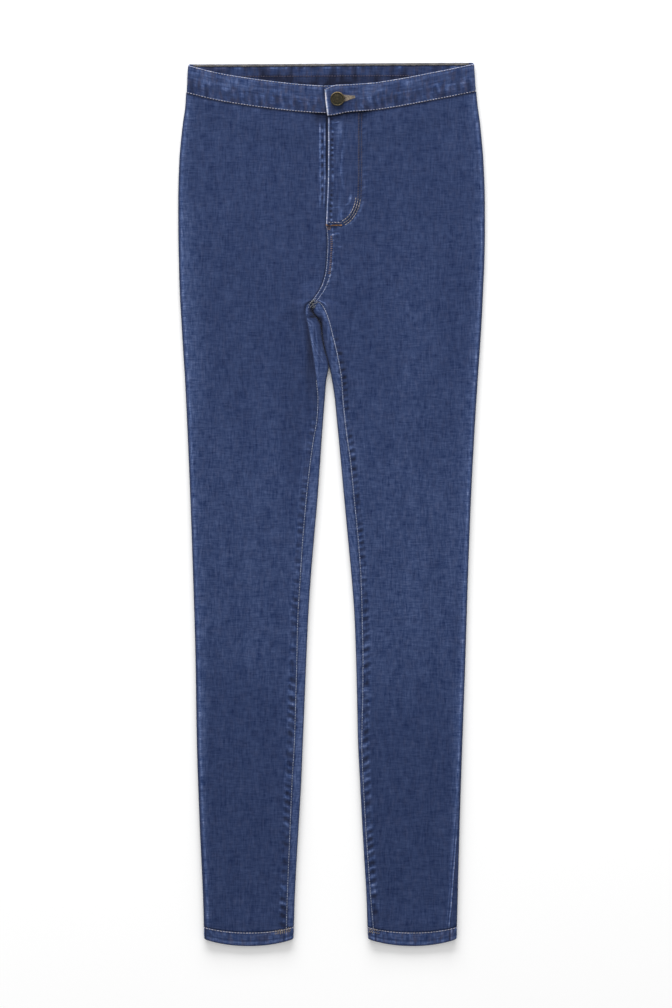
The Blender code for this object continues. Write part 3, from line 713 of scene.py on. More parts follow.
def math_node(tree, operation, *values, clamp=False):
    """The output of a Math node on these values."""
    inputs = dict(enumerate(values))
    return add(tree, "ShaderNodeMath", inputs, operation=operation, use_clamp=clamp).outputs[0]


def vector_node(tree, operation, *values):
    """A Vector Math node on these values."""
    return add(tree, "ShaderNodeVectorMath", dict(enumerate(values)), operation=operation)


def blend_node(tree, factor, first, second):
    """The colour output of a Mix node."""
    made = add(tree, "ShaderNodeMix", data_type="RGBA")
    for key, value in ((0, factor), (6, first), (7, second)):
        if isinstance(value, bpy.types.NodeSocket):
            tree.links.new(value, made.inputs[key])
        else:
            made.inputs[key].default_value = value
    return made.outputs[2]


def noise_node(tree, vector, scale, detail=2.0):
    """Noise around 0, stretched by a scale for each direction, in spots to the millimetre."""
    stretched = vector_node(tree, "MULTIPLY", vector, scale).outputs[0]
    inputs = {"Vector": stretched, "Scale": 1.0, "Detail": detail, "Roughness": 0.55}
    noise = add(tree, "ShaderNodeTexNoise", inputs)
    return math_node(tree, "SUBTRACT", noise.outputs["Fac"], 0.5)


def weighted(tree, *pairs):
    """The sum of each socket times its weight."""
    total = 0.0
    for socket, weight in pairs:
        total = math_node(tree, "MULTIPLY_ADD", socket, weight, total)
    return total


def rgba(colour):
    """An opaque colour."""
    return (*colour, 1.0)


def new_material(name):
    """A material, its node tree and its shader."""
    made = bpy.data.materials.new(name)
    made.use_nodes = True
    return made, made.node_tree, made.node_tree.nodes["Principled BSDF"]


def in_millimetres(tree, place):
    """A place in metres as one in millimetres."""
    scaled = vector_node(tree, "SCALE", place)
    scaled.inputs["Scale"].default_value = 1000.0
    return scaled.outputs[0]


def object_place(tree):
    """Where a point of the piece lies, in millimetres."""
    return in_millimetres(tree, add(tree, "ShaderNodeTexCoord").outputs["Object"])


def surface(tree, shader, colour, roughness, height, depth, strength=1.0):
    """Gives the shader a colour, a roughness and a relief of this depth in metres."""
    bump = add(tree, "ShaderNodeBump", {"Height": height, "Distance": depth, "Strength": strength})
    tree.links.new(colour, shader.inputs["Base Color"])
    tree.links.new(roughness, shader.inputs["Roughness"])
    tree.links.new(bump.outputs[0], shader.inputs["Normal"])


def new_group(name, inputs, outputs):
    """An empty shader node group with these sockets: name -> (kind, default)."""
    tree = bpy.data.node_groups.new(name, "ShaderNodeTree")
    for socket_name, (kind, default) in inputs.items():
        socket = tree.interface.new_socket(socket_name, in_out="INPUT", socket_type=kind)
        if default is not None:
            socket.default_value = default
    for socket_name, kind in outputs.items():
        tree.interface.new_socket(socket_name, in_out="OUTPUT", socket_type=kind)
    return tree, tree.nodes.new("NodeGroupInput").outputs, tree.nodes.new("NodeGroupOutput").inputs


# The denim's yarns and its uneven dye, as noise stretched along the one or the other.
YARNS = (
    # name, spots per mm across, the same along, detail
    ("warp", 0.60, 0.085, 1.0),
    ("weft", 0.095, 0.62, 1.0),
    ("yarn", 0.66, 0.66, 1.0),
    ("thick warp", 0.25, 0.045, 1.0),
    ("thick weft", 0.050, 0.22, 1.0),
    ("broad", 0.080, 0.016, 1.0),
    ("blots", 0.20, 0.075, 2.0),
)
THIN_DYE = (1.20, 0.89, 0.56)  # how much thin dye lightens red, green and blue


def denim_group():
    """Twill with slubby warp and weft yarns, mottled dye, and by the tone worn yarn, painted light
    and painted shade.
    """
    found = bpy.data.node_groups.get("Slub denim")
    if found:
        return found
    number, colour = "NodeSocketFloat", "NodeSocketColor"
    sockets = {"Cloth place": ("NodeSocketVector", None), "Tone": (number, 0.0)}
    sockets |= dict.fromkeys(("Indigo", "Faded", "Worn", "Deep", "Rust"), (colour, None))
    sockets |= dict.fromkeys(("Slub", "Mottle"), (number, 1.0))
    sockets |= {"Tint": (number, 0.0), "Twill pitch": (number, 0.9)}
    outputs = {"Colour": colour, "Roughness": number, "Height": number}
    tree, given, out = new_group("Slub denim", sockets, outputs)
    place = in_millimetres(tree, given["Cloth place"])
    noises = {
        name: noise_node(tree, place, (across, along, 1.0), detail)
        for name, across, along, detail in YARNS
    }
    warp, weft, yarn = noises["warp"], noises["weft"], noises["yarn"]
    pitch = math_node(tree, "DIVIDE", 2 * math.pi, given["Twill pitch"])
    diagonal = vector_node(tree, "DOT_PRODUCT", place, (0.62, 1.0, 0.0)).outputs["Value"]
    ripple = math_node(tree, "MULTIPLY", diagonal, pitch)
    twill = math_node(tree, "SINE", math_node(tree, "MULTIPLY_ADD", yarn, 2.0, ripple))
    grain = weighted(tree, (warp, 1.45), (weft, 1.35), (yarn, 0.75), (twill, 0.05))
    thick = (noises["thick warp"], 0.70), (noises["thick weft"], 0.66)
    dye = weighted(tree, *thick, (noises["broad"], 0.55))
    light = math_node(tree, "MULTIPLY", grain, given["Slub"])
    light = math_node(tree, "MULTIPLY_ADD", dye, given["Mottle"], light)
    # Thin dye lets white yarn through, so red varies more than blue does.
    light = vector_node(tree, "MULTIPLY_ADD", light, THIN_DYE, (1.0, 1.0, 1.0))
    light = vector_node(tree, "MAXIMUM", light.outputs[0], (0.25, 0.25, 0.25)).outputs[0]
    # Worn yarn and painted light, both from the tone above 0, follow the yarns: they take the
    # raised ones first, and break up over the others.
    raised = math_node(tree, "MULTIPLY_ADD", grain, 0.7, 1.0)
    wear_and_highlight = math_node(tree, "MULTIPLY", given["Tone"], raised)
    faded = math_node(tree, "MULTIPLY", wear_and_highlight, 4.0, clamp=True)
    bare = math_node(tree, "MULTIPLY_ADD", wear_and_highlight, 1.3, -0.23, clamp=True)
    # Tone below 0 is painted shade, mixed in as the deep colour.
    shaded = math_node(tree, "MULTIPLY", given["Tone"], -1.0, clamp=True)
    rusty = math_node(tree, "MULTIPLY_ADD", noises["blots"], 6.0, 0.1, clamp=True)
    base = blend_node(tree, faded, given["Indigo"], given["Faded"])
    base = blend_node(tree, bare, base, given["Worn"])
    base = blend_node(tree, math_node(tree, "MULTIPLY", rusty, given["Tint"]), base, given["Rust"])
    base = blend_node(tree, shaded, base, given["Deep"])
    lit = vector_node(tree, "MULTIPLY", base, light)
    height = weighted(tree, (twill, 0.30), (warp, 0.9), (weft, 0.8), (yarn, 0.5))
    tree.links.new(lit.outputs[0], out["Colour"])
    tree.links.new(math_node(tree, "MULTIPLY_ADD", yarn, 0.16, 0.86), out["Roughness"])
    tree.links.new(height, out["Height"])
    return tree


def denim(name, indigo, slub=1.0, mottle=1.0, tint=0.08, sheen=0.06):
    """A denim material. Its pattern follows the cloth's own UV map, in metres."""
    found = bpy.data.materials.get(name)
    if found:
        return found
    cloth = bpy.context.scene.jeans_cloth
    made, tree, shader = new_material(name)
    place = add(tree, "ShaderNodeUVMap", uv_map="cloth").outputs[0]
    tone = add(tree, "ShaderNodeAttribute", attribute_name="tone").outputs["Fac"]
    weave = add(tree, "ShaderNodeGroup", node_tree=denim_group())
    dyes = {key: rgba(getattr(cloth, key.lower())) for key in ("Faded", "Worn", "Deep", "Rust")}
    amounts = {"Slub": slub, "Mottle": mottle, "Tint": tint}
    for key, value in {"Indigo": rgba(indigo), **dyes, **amounts}.items():
        weave.inputs[key].default_value = value
    tree.links.new(place, weave.inputs["Cloth place"])
    tree.links.new(tone, weave.inputs["Tone"])
    colour, roughness, height = (weave.outputs[k] for k in ("Colour", "Roughness", "Height"))
    surface(tree, shader, colour, roughness, height, cloth.weave_depth)
    shader.inputs["Specular IOR Level"].default_value = 0.15
    shader.inputs["Sheen Weight"].default_value = sheen
    shader.inputs["Sheen Roughness"].default_value = 0.55
    return made


def thread_material(name, colour, shine=0.3):
    """Twisted sewing thread, with soiled and faded stretches."""
    found = bpy.data.materials.get(name)
    if found:
        return found
    made, tree, shader = new_material(name)
    place = object_place(tree)
    faded = noise_node(tree, place, (0.16, 0.16, 0.16), detail=3.0)
    plies = noise_node(tree, place, (3.2, 3.2, 3.2), detail=1.0)
    amount = math_node(tree, "MULTIPLY_ADD", faded, 2.4, 0.42, clamp=True)
    dull = rgba([0.34 * c for c in colour])
    roughness = math_node(tree, "MULTIPLY_ADD", plies, 0.3, 0.62)
    mixed = blend_node(tree, amount, dull, rgba(colour))
    surface(tree, shader, mixed, roughness, plies, 0.0003, 0.8)
    shader.inputs["Sheen Weight"].default_value = shine
    return made


def brass_material(name):
    """Dark antique metal, made bright where its attribute says: rubbed wear, and on the button a
    painted highlight towards the lamp.
    """
    found = bpy.data.materials.get(name)
    if found:
        return found
    metal = bpy.context.scene.jeans_metal
    made, tree, shader = new_material(name)
    place = object_place(tree)
    stain = noise_node(tree, place, (0.7, 0.7, 0.7), detail=4.0)
    scratches = noise_node(tree, place, (2.6, 0.8, 2.0), detail=3.0)
    wear_and_highlight = add(tree, "ShaderNodeAttribute", attribute_name="wear_and_highlight").outputs["Fac"]
    rubbed = math_node(tree, "MULTIPLY_ADD", stain, 0.9, wear_and_highlight, clamp=True)
    colour = blend_node(tree, rubbed, rgba(metal.brass), rgba(metal.rubbed))
    roughness = math_node(tree, "MULTIPLY_ADD", scratches, 0.35, 0.46)
    surface(tree, shader, colour, roughness, scratches, 0.00008, 0.6)
    shader.inputs["Metallic"].default_value = 0.85
    return made


def tape_material():
    """The zip's woven tape."""
    metal = bpy.context.scene.jeans_metal
    made, tree, shader = new_material("Zip tape")
    place = object_place(tree)
    rib = vector_node(tree, "DOT_PRODUCT", place, (0.0, 6.3, 0.0)).outputs["Value"]
    ribs = math_node(tree, "SINE", rib)
    fuzz = noise_node(tree, place, (1.6, 1.6, 1.6))
    height = weighted(tree, (ribs, 0.5), (fuzz, 1.0))
    amount = math_node(tree, "MULTIPLY_ADD", height, 0.3, 0.4, clamp=True)
    colour = blend_node(tree, amount, rgba(metal.tape), rgba([2.2 * c for c in metal.tape]))
    roughness = math_node(tree, "MULTIPLY_ADD", fuzz, 0.2, 0.85)
    surface(tree, shader, colour, roughness, height, 0.0002, 0.7)
    return made


def panel_denim():
    """The right side and the wrong side of the panels' cloth."""
    cloth = bpy.context.scene.jeans_cloth
    right_side = denim("Indigo denim", cloth.indigo)
    return right_side, denim("Denim wrong side", cloth.inside, slub=1.3, mottle=0.6)


def band_denim():
    """The waistband's and the hems' cloth, browner where it is thick."""
    cloth = bpy.context.scene.jeans_cloth
    return denim("Waistband denim", cloth.indigo, slub=0.9, mottle=1.2, tint=0.36)


# ---- mesh tools
def points_of(x, down, z):
    """Points in metres, from a grid in millimetres."""
    x, down, z = np.broadcast_arrays(x, down, z)
    return np.stack([x, WAIST_Y - down, z], axis=-1) * 0.001


def grid_faces(rows, columns, closed_rows=False, closed_columns=False):
    """Quads of a grid, as rows of four vertex numbers."""
    down = np.arange(rows if closed_rows else rows - 1)[:, None]
    over = np.arange(columns if closed_columns else columns - 1)[None, :]
    below, beyond = (down + 1) % rows, (over + 1) % columns
    corners = ((down, over), (down, beyond), (below, beyond), (below, over))
    return np.stack([row * columns + column for row, column in corners], axis=-1).reshape(-1, 4)


def placed(name, data):
    """A new object in the scene, at its origin."""
    made = bpy.data.objects.new(name, data)
    bpy.context.scene.collection.objects.link(made)
    return made


def placed_shape(name, shape, material=None):
    """The same from a bmesh, which is freed."""
    mesh = bpy.data.meshes.new(name)
    shape.to_mesh(mesh)
    shape.free()
    if material:
        mesh.materials.append(material)
    return placed(name, mesh)


def build_mesh(name, points, faces, tone, cloth_place):
    """An object from points in metres, with its tone and its UV map in metres."""
    mesh = bpy.data.meshes.new(name)
    mesh.from_pydata(points.reshape(-1, 3).tolist(), [], [list(map(int, f)) for f in faces])
    attribute = mesh.attributes.new("tone", "FLOAT", "POINT")
    attribute.data.foreach_set("value", np.ascontiguousarray(tone.ravel(), np.float32))
    corner_vertices = np.zeros(len(mesh.loops), np.int32)
    mesh.loops.foreach_get("vertex_index", corner_vertices)
    layer = mesh.uv_layers.new(name="cloth")
    places = cloth_place.reshape(-1, 2)[corner_vertices]
    layer.data.foreach_set("uv", np.ascontiguousarray(places.ravel(), np.float32))
    mesh.shade_smooth()
    return placed(name, mesh)


def finished(made):
    """Applies an object's modifiers, so that a plain mesh is left."""
    bpy.context.view_layer.update()
    evaluated = made.evaluated_get(bpy.context.evaluated_depsgraph_get())
    mesh = bpy.data.meshes.new_from_object(evaluated)
    made.modifiers.clear()
    made.data = mesh
    return made


def shell(name, grid, thickness, flip, kept=None):
    """A wall of denim from its outer skin. Its wrong side has its own material."""
    x, down, z, share, tone, place = grid
    faces = grid_faces(*x.shape)
    if kept is not None:
        faces = faces[kept.ravel()]
    if flip:
        faces = faces[:, ::-1]
    made = build_mesh(name, points_of(x, down, z), faces, tone, place)
    group = made.vertex_groups.new(name="thickness")
    share = np.broadcast_to(share, x.shape).ravel()
    for level in np.unique(np.round(share, 3)):
        members = np.nonzero(np.round(share, 3) == level)[0]
        group.add(members.tolist(), float(level), "REPLACE")
    for side in panel_denim():
        made.data.materials.append(side)
    wall = made.modifiers.new("wall", "SOLIDIFY")
    wall.thickness = thickness * 0.001
    wall.offset = -1
    wall.use_even_offset = True
    wall.vertex_group = group.name
    wall.material_offset = 1
    return drop_loose(finished(made))


def drop_loose(made):
    """Removes the points that no face uses."""
    shape = bmesh.new()
    shape.from_mesh(made.data)
    loose = [v for v in shape.verts if not v.link_faces]
    bmesh.ops.delete(shape, geom=loose, context="VERTS")
    shape.to_mesh(made.data)
    shape.free()
    return made


def cut_area(x, down, z, kept=None):
    """The flat area of a skin in square metres."""
    p = points_of(x, down, z)
    a, b = p[1:, 1:] - p[:-1, :-1], p[1:, :-1] - p[:-1, 1:]
    areas = np.linalg.norm(np.cross(a, b), axis=-1) / 2
    return float(areas.sum() if kept is None else areas[kept].sum())


def declare(made, node):
    """The piece rides on the jeans and stands for its solid."""
    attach(made, "root")
    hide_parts(node)


# ---- the upper skins
LEG_SEEDS = {-1: 4.0, 1: 1.0}  # of the ripples beside each leg's inseam


def seam_run(leg, s, down, seed):
    """Ripples beside the inseam: (height, tone). s is how far onto the front, or off it."""
    pucker = mm(bpy.context.scene.jeans_cloth.pucker)
    left = leg.side > 0
    starts = rise(down, 304, 20) if left else rise(down, 385, 60)
    coarse = rise(down, 500, 300)
    fine = 0.85 * uneven_wave(down + 0.35 * s, 8.4, seed)
    fine = fine + 0.55 * cloud(s, down, 5.0, 3.6, 61)
    wide = 0.82 * uneven_wave(down + 0.45 * s, 10.2, seed + 2)
    wide = wide + 0.7 * cloud(s, down, 5.0, 4.2, 62)
    wave = fine + (wide - fine) * coarse
    reach = 4.8 + 1.3 * coarse
    on_front = rise(s, 0.6, 1.2) * fall(s, reach, 0.8 * reach)
    on_back = 0.34 * stripe(s, -1.4, 1.8) * (s < 0)
    strength = (on_front + on_back) * (0.15 + 0.85 * starts)
    strokes = uneven_wave(down, 3.1, seed + 1) * (1 - 0.6 * coarse)
    # Painted shade in the ripples' troughs and painted light on their crests.
    dark = np.clip(wave * 1.4 - 0.1, 0.0, 1.0)
    light = np.clip(-wave - 0.1, 0.0, 1.0)
    depth = 0.90 - 0.12 * coarse if left else 0.58 + 0.18 * coarse
    shade = (0.11 + 0.12 * coarse) * light - depth * dark + 0.07 * strokes
    return -pucker * wave * strength, shade * strength * (0.45 + 0.55 * starts)


def inner_edge_relief(leg, down, s):
    """Height and tone beside a front's inner edge: the crotch seam, and then the inseam."""
    cloth = bpy.context.scene.jeans_cloth
    pucker, trench = mm(cloth.pucker), mm(cloth.trench)
    left = leg.side > 0
    below = rise(down, CROTCH_DOWN, 8)
    above = (1 - below) * (1 - fly_fade(down))
    felled = below + (above if left else 0)
    ripple, shade = seam_run(leg, s, down, LEG_SEEDS[leg.side])
    rope = uneven_wave(down + 0.5 * s, 6.5, 2.0)
    beside = stripe(s, 5.5, 4.0) if left else 0.4 * stripe(s, 0, 4.0)
    # Below the crotch the tone is the ripples' painted light and shade; above it the ripples'
    # crests are painted lighter.
    height = ripple * below + pucker * 0.7 * rope * beside * above
    tone = shade * below + 0.12 * rope * beside * above
    # the thread pulls the seams in, and the cloth ends at their edge
    for row in (0.6, 5.6):
        height = height - trench * stripe(s, row, 0.9) * felled
    height = height - 0.50 * fall(s, 0, 1.6) * felled

    # the inseam's edge is worn, with ticks in it on the left thigh
    broken = 0.55 + 0.25 * uneven_wave(down, 5.0, 3.0) + 0.35 * cloud(s, down, 60.0, 7.0, 54)
    smooth_part = fall(down, 430, 120) * left
    edge = (0.40 + 0.12 * smooth_part) * (smooth_part + (1 - smooth_part) * broken)
    ticks = clipped(uneven_wave(down, 7.0, 14.0) + 0.25)
    edge = edge * (1 - 0.6 * ticks * rise(down, 345, 20) * fall(down, 600, 120) * left)
    shown = 1.0 if left else rise(down, 372, 30)
    shin = rise(down, 690, 90)
    tone = tone + stripe(s, 0.1, 0.8) * below * edge * shown
    tone = tone + (0.034 + 0.030 * shin) * stripe(s, 9.0, 2.6) * below * rise(down, 400, 60)
    tone = tone + (0.060 if left else 0.036) * stripe(s, 4.5, 5.0) * shin

    # the felled crotch seam has two pale edges, and the right front lies in its shadow
    if left:
        rungs = 0.10 * uneven_wave(down, 2.3, 24.0)
        lowest = rise(down, 246, 18)
        second_edge = (0.20 + 0.26 * lowest) * stripe(s, 6.6 - 1.2 * lowest, 0.8)
        edges = 0.62 * stripe(s, -0.1, 0.9) - 0.22 * stripe(s, 1.9, 0.8) + second_edge
        between = (0.05 + rungs) * stripe(s, 4.0, 2.0) - 0.30 * stripe(s, 3.4, 1.4) * lowest
        return height, tone + (edges + between) * above
    # Painted shade on the right front beside its inseam near the crotch, and beside its crotch
    # seam.
    shaded = fall(down, 385, 40) * below
    tone = tone - (0.30 * stripe(s, 2.4, 4.4) + 0.22 * stripe(s, 1.4, 1.4)) * shaded
    return height, tone - 0.85 * stripe(s, 1.1, 1.0) * above


def waist_relief(leg, x, down):
    """The gathers under the waistband, and its shadow line."""
    under = under_band(x, down, leg)
    gather = uneven_wave(x, 7.5, 5.0 + leg.side)
    height = 0.14 * gather * stripe(under, 3, 7)
    # The gathers' crests are painted lighter, as light, and the line under the band is a painted
    # shadow.
    return height, 0.09 * gather * stripe(under, 3, 6) - 1.05 * stripe(under, 0.8, 1.6)


def side_relief(leg, x, down):
    """The side seam shows as a pale line and a soft ridge beside the outline."""
    from_outer = leg.outer(down) - x * leg.side
    from_seam = from_outer - leg.side_seam(down)
    wave = uneven_wave(down, 15.0, 6.0 + leg.side)
    shin = rise(down, 690, 90)
    height = 0.20 * stripe(from_outer, 11, 5) * rise(down, 60, 40)
    height = height + 0.10 * wave * stripe(from_outer, 9, 6)
    hips = rise(down, 170, 40) * fall(down, 400, 60)
    tone = (0.125 + 0.04 * wave + 0.03 * shin) * stripe(from_seam, 2.9, 2.1)
    tone = tone + (0.035 + 0.035 * shin) * stripe(from_outer, 8.5, 7.0)
    tone = tone + (0.034 * hips + 0.032 * shin) * stripe(from_outer, 5.0, 3.2)
    # Painted shade right on the outline, where the fold turns down.
    tone = tone - 0.16 * stripe(from_outer, 0, 1.2)
    if leg.side < 0:
        hip = rise(down, 130, 80) * fall(down, 390, 60)
        return height, tone + 0.042 * stripe(from_outer, 14.0, 15.0) * hip
    ankle = rise(down, 850, 90)
    pale = 0.060 * stripe(from_outer, 6.0, 4.0) + (0.20 + 0.10 * wave) * stripe(from_seam, 0.6, 1.0)
    tone = tone + (pale - 0.34 * stripe(from_seam, 2.6, 1.0)) * ankle
    return height, tone - 0.045 * stripe(from_outer, 12.0, 7.0) * stripe(down, 680, 110)


def hem_relief(leg, x, down):
    """The gathers above the hem, and the darker strip that they lie in."""
    above_hem = LAST_ROW + 3 - down
    gather = uneven_wave(x, 9.0, 7.0 + leg.side)
    height = 0.16 * gather * stripe(above_hem, 3, 8)
    # The gathers' crests are painted lighter, as light.
    return height, (0.05 * gather - 0.07) * stripe(above_hem, 3, 5)


def front_relief(leg, x, down, s):
    """Height and tone of everything on a front: s is how far it lies from the inner edge."""
    height = creases(CREASES, x, down)
    # The creases' ridges are painted lighter and their troughs darker, as light and shade.
    tone = 0.10 * height + marks(SHADES, x, down) + creases(STREAKS, x, down)
    tone = tone + 0.010 * cloud(x, down, 8.0, 13.0, 51) + 0.007 * cloud(x, down, 20.0, 50.0, 52)
    # painted fall of light: the thighs are paler and the shins darker
    tone = tone + (0.036 if leg.side > 0 else 0.028) * rise(down, 250, 350)
    tone = tone - 0.080 * rise(down, 660, 260)
    parts = [inner_edge_relief(leg, down, s)]
    parts += [relief(leg, x, down) for relief in (waist_relief, side_relief, hem_relief)]
    return height + sum(part[0] for part in parts), tone + sum(part[1] for part in parts)


def fly_relief(down, s):
    """Height and tone on the left front's fly: ripples by its fold and by its J."""
    cloth = bpy.context.scene.jeans_cloth
    pucker, trench = mm(cloth.pucker), mm(cloth.trench)
    by_fold = 0.8 * uneven_wave(down - 0.25 * s, 6.4, 8.0) + 0.7 * cloud(s, down, 3.0, 2.6, 31)
    beside = stripe(s, 6.0, 2.2)
    height = -pucker * 0.9 * by_fold * beside
    # Painted shade in the ripples' troughs by the fold, and painted light on their crests.
    dark, light = clipped(1.3 * by_fold), clipped(-1.2 * by_fold)
    tone = 0.30 * light * stripe(s, 6.2, 1.6) - 1.15 * dark * stripe(s, 5.2, 2.3)
    tone -= 0.30 * stripe(s, 3.4, 1.2)
    tone += (0.10 * cloud(s, down, 2.5, 16.0, 32) + 0.03) * stripe(s, 15.0, 8.0)
    tone += 0.07 * stripe(s, 17.0, 3.0) * clipped(cloud(s, down, 60.0, 13.0, 37) + 0.3)
    from_j = s - j_row(down, J_ROWS[1])
    by_j = uneven_wave(down + 0.6 * from_j, 7.0, 9.0)
    near_j = stripe(from_j, 2.0, 5.0)
    # The ripples by the J are painted lighter on their crests.
    height += pucker * 0.5 * by_j * near_j
    tone += (0.06 * by_j + 0.05 * cloud(s, down, 3.0, 1.6, 33)) * near_j
    rungs = clipped(uneven_wave(down, 3.4, 11.0)) * ease(cloud(s, down, 90.0, 15.0, 38) * 3)
    tone += 0.17 * rungs * stripe(from_j, 4.5, 3.2)
    curved = rise(down, 158, 12)
    tone += 0.10 * stripe(from_j, 3.0, 2.2) * curved - 0.40 * stripe(from_j, -1.6, 2.0) * curved
    smudge = 0.55 + 0.6 * cloud(from_j, down, 3.0, 5.0, 39)
    tone += 0.20 * smudge * stripe(from_j, -7.5, 3.0) * rise(down, 150, 12)
    tone -= 0.07 * stripe(from_j, -1.8, 2.2) * (1 - curved)
    for width in J_ROWS:
        height -= trench * stripe(s, j_row(down, width), 1.0)
    height += 0.10 * uneven_wave(down + 0.35 * s, 31.0, 10.0) * stripe(s, 20, 16)
    line = 1.45 - 0.4 * rise(down, 100, 60) - 0.3 * rise(down, 165, 25)
    bright = 0.76 + 0.14 * cloud(s, down, 9.0, 9.0, 34)
    # The dark line beside the fold's pale edge is painted shadow in the slit.
    slit = 0.45 + 0.5 * fall(down, 100, 40)
    tone += bright * stripe(s, line, 0.72) - slit * stripe(s, line - 1.5, 0.7)
    shown = fly_fade(down, 192, 200)
    return height * shown, tone * shown


def under_fly_tone(x, down):
    """The right front beside the fly's fold: a painted shadow in the slit, and pale worn streaks
    left of it, beaded with painted light and shade.
    """
    shown = rise(down, 66, 8) * fall(down, 158, 20)
    beads = 0.8 * uneven_wave(down, 10.0, 21.0) + 0.6 * cloud(x, down, 2.6, 3.4, 35)
    runs = cloud(x, down, 2.4, 15.0, 36)
    from_edge = x - centre_front(down)
    tone = (0.20 + 0.18 * runs) * stripe(x, -13.6, 1.5)
    # Beads of painted light and shade, as on puckers, beside the fold.
    tone += 0.34 * clipped(-beads) * stripe(x, -11.0, 1.6)
    tone += (0.30 + 0.20 * runs + 0.20 * clipped(-beads)) * stripe(from_edge, -2.9, 1.3)
    tone -= clipped(1.4 * beads) * stripe(x, -11.0, 1.7)
    tone -= 0.20 * clipped(runs) * stripe(x, -18.0, 2.2)
    # The slit beside the fold is painted shadow.
    slit = rise(down, 56, 4) * (1 - 0.7 * rise(down, 112, 34)) * fall(down, 165, 20)
    return tone * shown - 1.8 * stripe(from_edge, -0.8, 1.4) * slit


def front_skin(leg, aside, row):
    """(x, down, height, share of the doubled thickness, tone) of a front at a row."""
    edge = leg.front_edge(row)
    down = front_down(leg, aside, row)
    x = aside * leg.side
    s = aside - edge
    height = leg.skin_height(aside, row)
    fly = fly_fade(down)
    ridge = SEAM_RIDGE * fall(s, SEAM_RIDGE_WIDTH - 1, 1.5)
    share = np.full(height.shape, DENIM / DOUBLED)
    relief, tone = front_relief(leg, x, down, s)
    below = rise(down, CROTCH_DOWN - 4, 8)
    share = share + (EDGE_THICKNESS - share) * fall(s, 0, 2.4) * below
    if leg.side > 0:
        cover = fall(s + GAP / 2, j_reach(down) - 2.0, 4.0) * fly
        height = height + (FLY_HEIGHT - height) * cover + ridge * (1 - fly)
        share = share + (1 - share) * cover
        fly_height, fly_tone = fly_relief(down, s)
        relief, tone = relief + fly_height, tone + fly_tone
        round_edge = (1 - np.sqrt(1 - np.square(1 - np.clip(s / 1.1, 0, 1)))) * fly
        height = height - 0.8 * round_edge
        share = share * (1 - 0.45 * round_edge)
    else:
        height = height + np.where(row > CROTCH_DOWN, ridge, 0.0)
        tucked = fly_fade(down, 172, 184) * fall(s, 0, 6)
        x = x + UNDERLAP * tucked
        tone = tone + under_fly_tone(x, down)
        relief = relief * (1 - tucked)
    return x, down, height + relief, share, tone


def panel_rows(spacing, fine=0.75):
    """Rows of a panel from the waistband to the hem, closer together along the fly."""
    ends = (FIRST_ROW, 215, 320, LAST_ROW)  # of the fly, the crotch and the leg
    rows = []
    for start, end, share in zip(ends, ends[1:], (fine, 0.85, 1.0)):
        rows.append(np.linspace(start, end, int((end - start) / (spacing * share)))[:-1])
    return np.concatenate([*rows, [LAST_ROW]])


# Where the columns of a front lie, from its side seam and from its inner edge.
FROM_SIDE = np.array([0, 0.35, 0.9, 1.8, 2.7, 3.7, 5.0, 6.8, 9.0, 12, 16.5, 22])
SEAM_COLUMNS = 48
FROM_SEAM = 60 * np.linspace(0, 1, SEAM_COLUMNS) ** 1.7
BY_FOLD = [0, 0.3, 0.65, 1.0, 1.4, 1.9]
FROM_FLY_FOLD = np.concatenate([BY_FOLD, np.linspace(2.5, 45, SEAM_COLUMNS - len(BY_FOLD))])
FROM_UNDER_FOLD = np.concatenate([[0, 1, 2], np.linspace(2.6, 14, 30), np.linspace(15.5, 60, 15)])
MIDDLE_COLUMNS = 14


def front_grid(leg):
    """The outer skin of a front, from its side seam to its inner edge."""
    row = panel_rows(mm(bpy.context.scene.jeans_cloth.row_spacing))[:, None]
    start = leg.outer(row) - leg.side_seam(row)
    end = leg.front_edge(row)
    fly = fall(row, 190, 80)
    at_fly = FROM_FLY_FOLD if leg.side > 0 else FROM_UNDER_FOLD
    near = FROM_SEAM + (at_fly - FROM_SEAM) * fly
    first = start - FROM_SIDE
    last = (end + near)[:, ::-1]
    steps = np.arange(1, MIDDLE_COLUMNS + 1) / (MIDDLE_COLUMNS + 1)
    middle = first[:, -1:] + (last[:, :1] - first[:, -1:]) * steps
    aside = np.concatenate([first, middle, last], axis=1)
    x, down, z, share, tone = front_skin(leg, aside, np.broadcast_to(row, aside.shape))
    place = np.stack([aside * leg.side, -down], axis=-1) * 0.001 + (0.4 * leg.side, 0)
    return x, down, z, share, tone, place


# ---- the backs
# How many columns a back has on its lap, round its inner fold, beneath and round its outer fold.
LAP_COLUMNS = 5
STRIP_COLUMNS = 17
INNER_COLUMNS = LAP_COLUMNS + STRIP_COLUMNS  # all that wrap round the inner fold
UNDER_COLUMNS = 15
OUTER_COLUMNS = 9


def along(path, distances):
    """Points of a polyline at these distances from its start."""
    run = run_along(path)
    return np.stack([np.interp(distances, run, path[:, k]) for k in (0, 1)], axis=1)


def inner_wrap(leg, row):
    """(aside, height) from under the front's inseam, round the inner fold, to the floor."""
    seam, fold = float(leg.inseam(row)), float(leg.inner(row))
    flat = np.linspace(seam + LAP, fold + FOLD_RUN, 24)[:-1]
    top = float(leg.skin_height(np.array(fold + FOLD_RUN), np.array(row)))
    half = FOLD_HEIGHT / 2
    angle = np.radians(np.linspace(90, -90, 33))
    reach = np.where(angle > 0, top - half, half)
    aside = np.concatenate([flat, fold + FOLD_RUN * (1 - np.cos(angle))])
    heights = leg.skin_height(flat, np.full(flat.shape, float(row)))
    path = np.stack([aside, np.concatenate([heights, half + reach * np.sin(angle)])], axis=1)
    depth = LAP_INSET * fall(run_along(path), LAP, LAP_BLEND)
    return path - outward_of(np.gradient(path, axis=0)) * depth[:, None]


